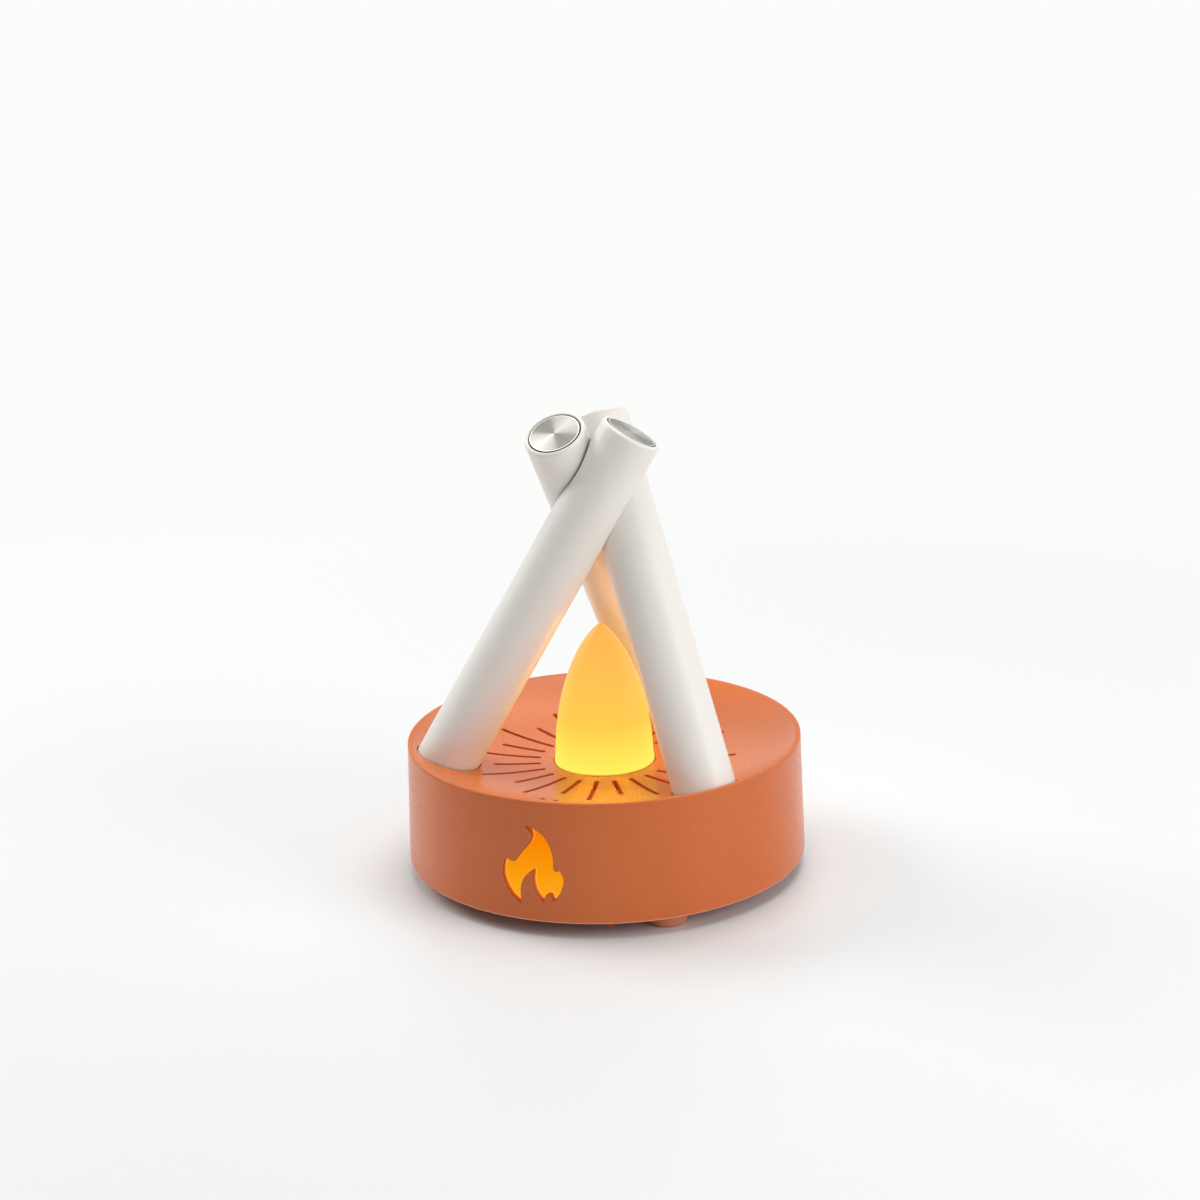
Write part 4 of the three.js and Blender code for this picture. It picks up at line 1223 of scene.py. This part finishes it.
def boardFinish():
    # Fine bricks in two greens between darker lines
    finish = Finish("circuitBoard")
    bricks = {"Vector": finish.place(), "Scale": board["scale"], **dict(enumerate(board["bricks"], 1))}
    finish.feed("Base Color", finish.add("ShaderNodeTexBrick", values=bricks))
    patches = finish.noise(1 / board["patch"]) * board["patchRoughness"]
    finish.feed("Roughness", board["roughness"] + patches)
    return finish.material


def clothFinish():
    # Woven cloth: two sets of fine waves across each other, with a painted glow, as emission, for the lamp's
    # light through it, less so further out
    finish = Finish("grilleCloth", emission_strength=1.0, roughness=cloth["roughness"])
    far = finish.over(finish.length(finish.place()), cloth["glow"])
    finish.feed("Emission Color", finish.mix(far, cloth["nearGlow"], cloth["farGlow"]))
    waves = {"Vector": finish.place(), "Scale": cloth["waves"]}
    first, second = (finish.add("ShaderNodeTexWave", {"bands_direction": axis}, waves) for axis in "XY")
    weave = first * second
    finish.feed("Base Color", finish.mix(weave, cloth["low"], cloth["high"]))
    finish.feed("Normal", finish.bump(weave, cloth["depth"]))
    return finish.material


paperLook = {"tint": rgb(44, 44, 46), "shade": rgb(34, 34, 36), "roughness": 0.85, "depth": 0.03 * mm}
wrapLook = {"tint": rgb(138, 151, 163), "shade": rgb(128, 140, 152), "roughness": 0.4}
inner = {
    "steel": steel,
    "circuit_board": boardFinish(),
    "mesh_cloth": clothFinish(),
    "cone_paper": moulded("conePaper", **paperLook, grain=0.5 * mm),
    "cell_wrap": moulded("cellWrap", **wrapLook),
    "black_plastic": blackPlastic,
    "log_plastic": whitePlastic,
}
for subpart in frame["record"]["subparts"]:
    node = nodes[subpart["node"]]
    if not node.hide_render:
        node.data.materials.clear()
        node.data.materials.append(inner[subpart["material_slot"]])
print("inner finishes set")


# Floor, world and lights
stage = {
    "rings": [0.02, 0.1, 0.3, 0.8, 2.5],
    "sides": 64,
    "near": rgb(233, 237, 237),
    "far": rgb(231, 233, 233),
    "white": rgb(252, 253, 251),
    "tone": (0.08, 0.17),
    "fade": (0.2, 0.5),
    "roughness": 0.45,
    "ambient": (0.292, 0.292, 0.292, 1),
}


def floorMesh():
    # Level rings about the axis, joined by quads, with a flat face in the middle
    rings = aroundAxis(np.array(stage["rings"])[:, None], anglesOf(stage["sides"]), 0.0)
    index = np.arange(rings[..., 0].size).reshape(rings.shape[:2])
    beside = np.roll(index, -1, axis=1)
    quads = np.stack([index[:-1], index[1:], beside[1:], beside[:-1]], axis=-1).reshape(-1, 4).tolist()
    mesh = bpy.data.meshes.new("floor")
    mesh.from_pydata(rings.reshape(-1, 3), [], quads + [index[0].tolist()])
    return mesh


def makeFloor():
    # The floor is lit near the object, and the camera sees it fade to plain white further out
    floor = bpy.data.objects.new("floor", floorMesh())
    bpy.context.scene.collection.objects.link(floor)
    finish = Finish("floor", roughness=stage["roughness"], specular_ior_level=0.5)
    distance = finish.length(finish.place())
    finish.feed("Base Color", finish.mix(finish.over(distance, stage["tone"]), stage["near"], stage["far"]))
    fade = finish.over(distance, stage["fade"]) * finish.add("ShaderNodeLightPath", output="Is Camera Ray")
    backdrop = finish.add("ShaderNodeEmission", values={0: stage["white"], 1: 1.0})
    lit = Wire(finish, finish.shader.outputs[0])
    shown = finish.add("ShaderNodeMixShader", values={0: fade, 1: lit, 2: backdrop})
    finish.tree.links.new(shown.socket, finish.tree.nodes["Material Output"].inputs["Surface"])
    floor.data.materials.append(finish.material)


def makeWorld():
    # Camera, mirror and glass see the white backdrop; everything else is lit by the ambient grey
    world = bpy.data.worlds.new("studio")
    world.use_nodes = True
    bpy.context.scene.world = world
    tree = world.node_tree
    path = tree.nodes.new("ShaderNodeLightPath")
    seen = path.outputs["Is Camera Ray"]
    for ray in ("Is Glossy Ray", "Is Transmission Ray"):
        either = tree.nodes.new("ShaderNodeMath")
        either.operation = "MAXIMUM"
        tree.links.new(seen, either.inputs[0])
        tree.links.new(path.outputs[ray], either.inputs[1])
        seen = either.outputs[0]
    mix = tree.nodes.new("ShaderNodeMix")
    mix.data_type = "RGBA"
    mix.inputs[6].default_value = stage["ambient"]
    mix.inputs[7].default_value = stage["white"]
    tree.links.new(seen, mix.inputs[0])
    tree.links.new(mix.outputs[2], tree.nodes["Background"].inputs[0])


# Softboxes aim at the middle of the object: name, place, width and watts
studio = {
    "middle": (0, 0, 0.06),
    "softboxes": [
        ("leftSoftbox", (-0.95, 0.12, 0.7), 0.7, 6.2),
        ("rightSoftbox", (0.95, -0.15, 0.42), 0.7, 4.4),
        ("topSoftbox", (0.1, 0.1, 1.2), 0.9, 6.4),
        ("rearSoftbox", (0, 0.75, 0.95), 0.8, 1.8),
    ],
}
# The lamp's own light, and the lights that stand in for it in mirrors: the real lamp is brighter than white,
# and so is its image in the dish
lampLight = {"rises": [20 * mm], "radius": 11 * mm, "watts": 0.0135, "tint": (0.86, 0.45, 0.05)}
sheen = {"rises": [11 * mm, 22 * mm, 33 * mm], "radius": 12 * mm, "watts": 0.0092, "tint": (1, 0.32, 0)}


def addLight(name, kind, place, watts, tint=(1, 1, 1)):
    data = bpy.data.lights.new(name, kind)
    data.energy = watts
    data.color = tint
    light = bpy.data.objects.new(name, data)
    light.matrix_world = Matrix.Translation(place)
    light.visible_camera = False
    bpy.context.scene.collection.objects.link(light)
    return light


def softbox(name, place, width, watts):
    light = addLight(name, "AREA", place, watts)
    light.data.shape = "DISK"
    light.data.size = width
    aim = Vector(studio["middle"]) - Vector(place)
    light.matrix_world = Matrix.Translation(place) @ aim.to_track_quat("-Z", "Y").to_matrix().to_4x4()


def glowLights(name, shape):
    # Round lights on the axis, at their rises over the deck
    for rise in shape["rises"]:
        light = addLight(name, "POINT", (0, 0, base["deckZ"] + rise), shape["watts"], shape["tint"])
        light.data.shadow_soft_size = shape["radius"]
        light.visible_glossy = shape is sheen
        light.visible_diffuse = shape is lampLight
        light.data.cycles.use_multiple_importance_sampling = shape is lampLight


makeFloor()
makeWorld()
for settings in studio["softboxes"]:
    softbox(*settings)
glowLights("lampLight", lampLight)
glowLights("lampSheen", sheen)
print("stage and lights set")

scene = bpy.context.scene
scene.view_settings.view_transform = "Standard"
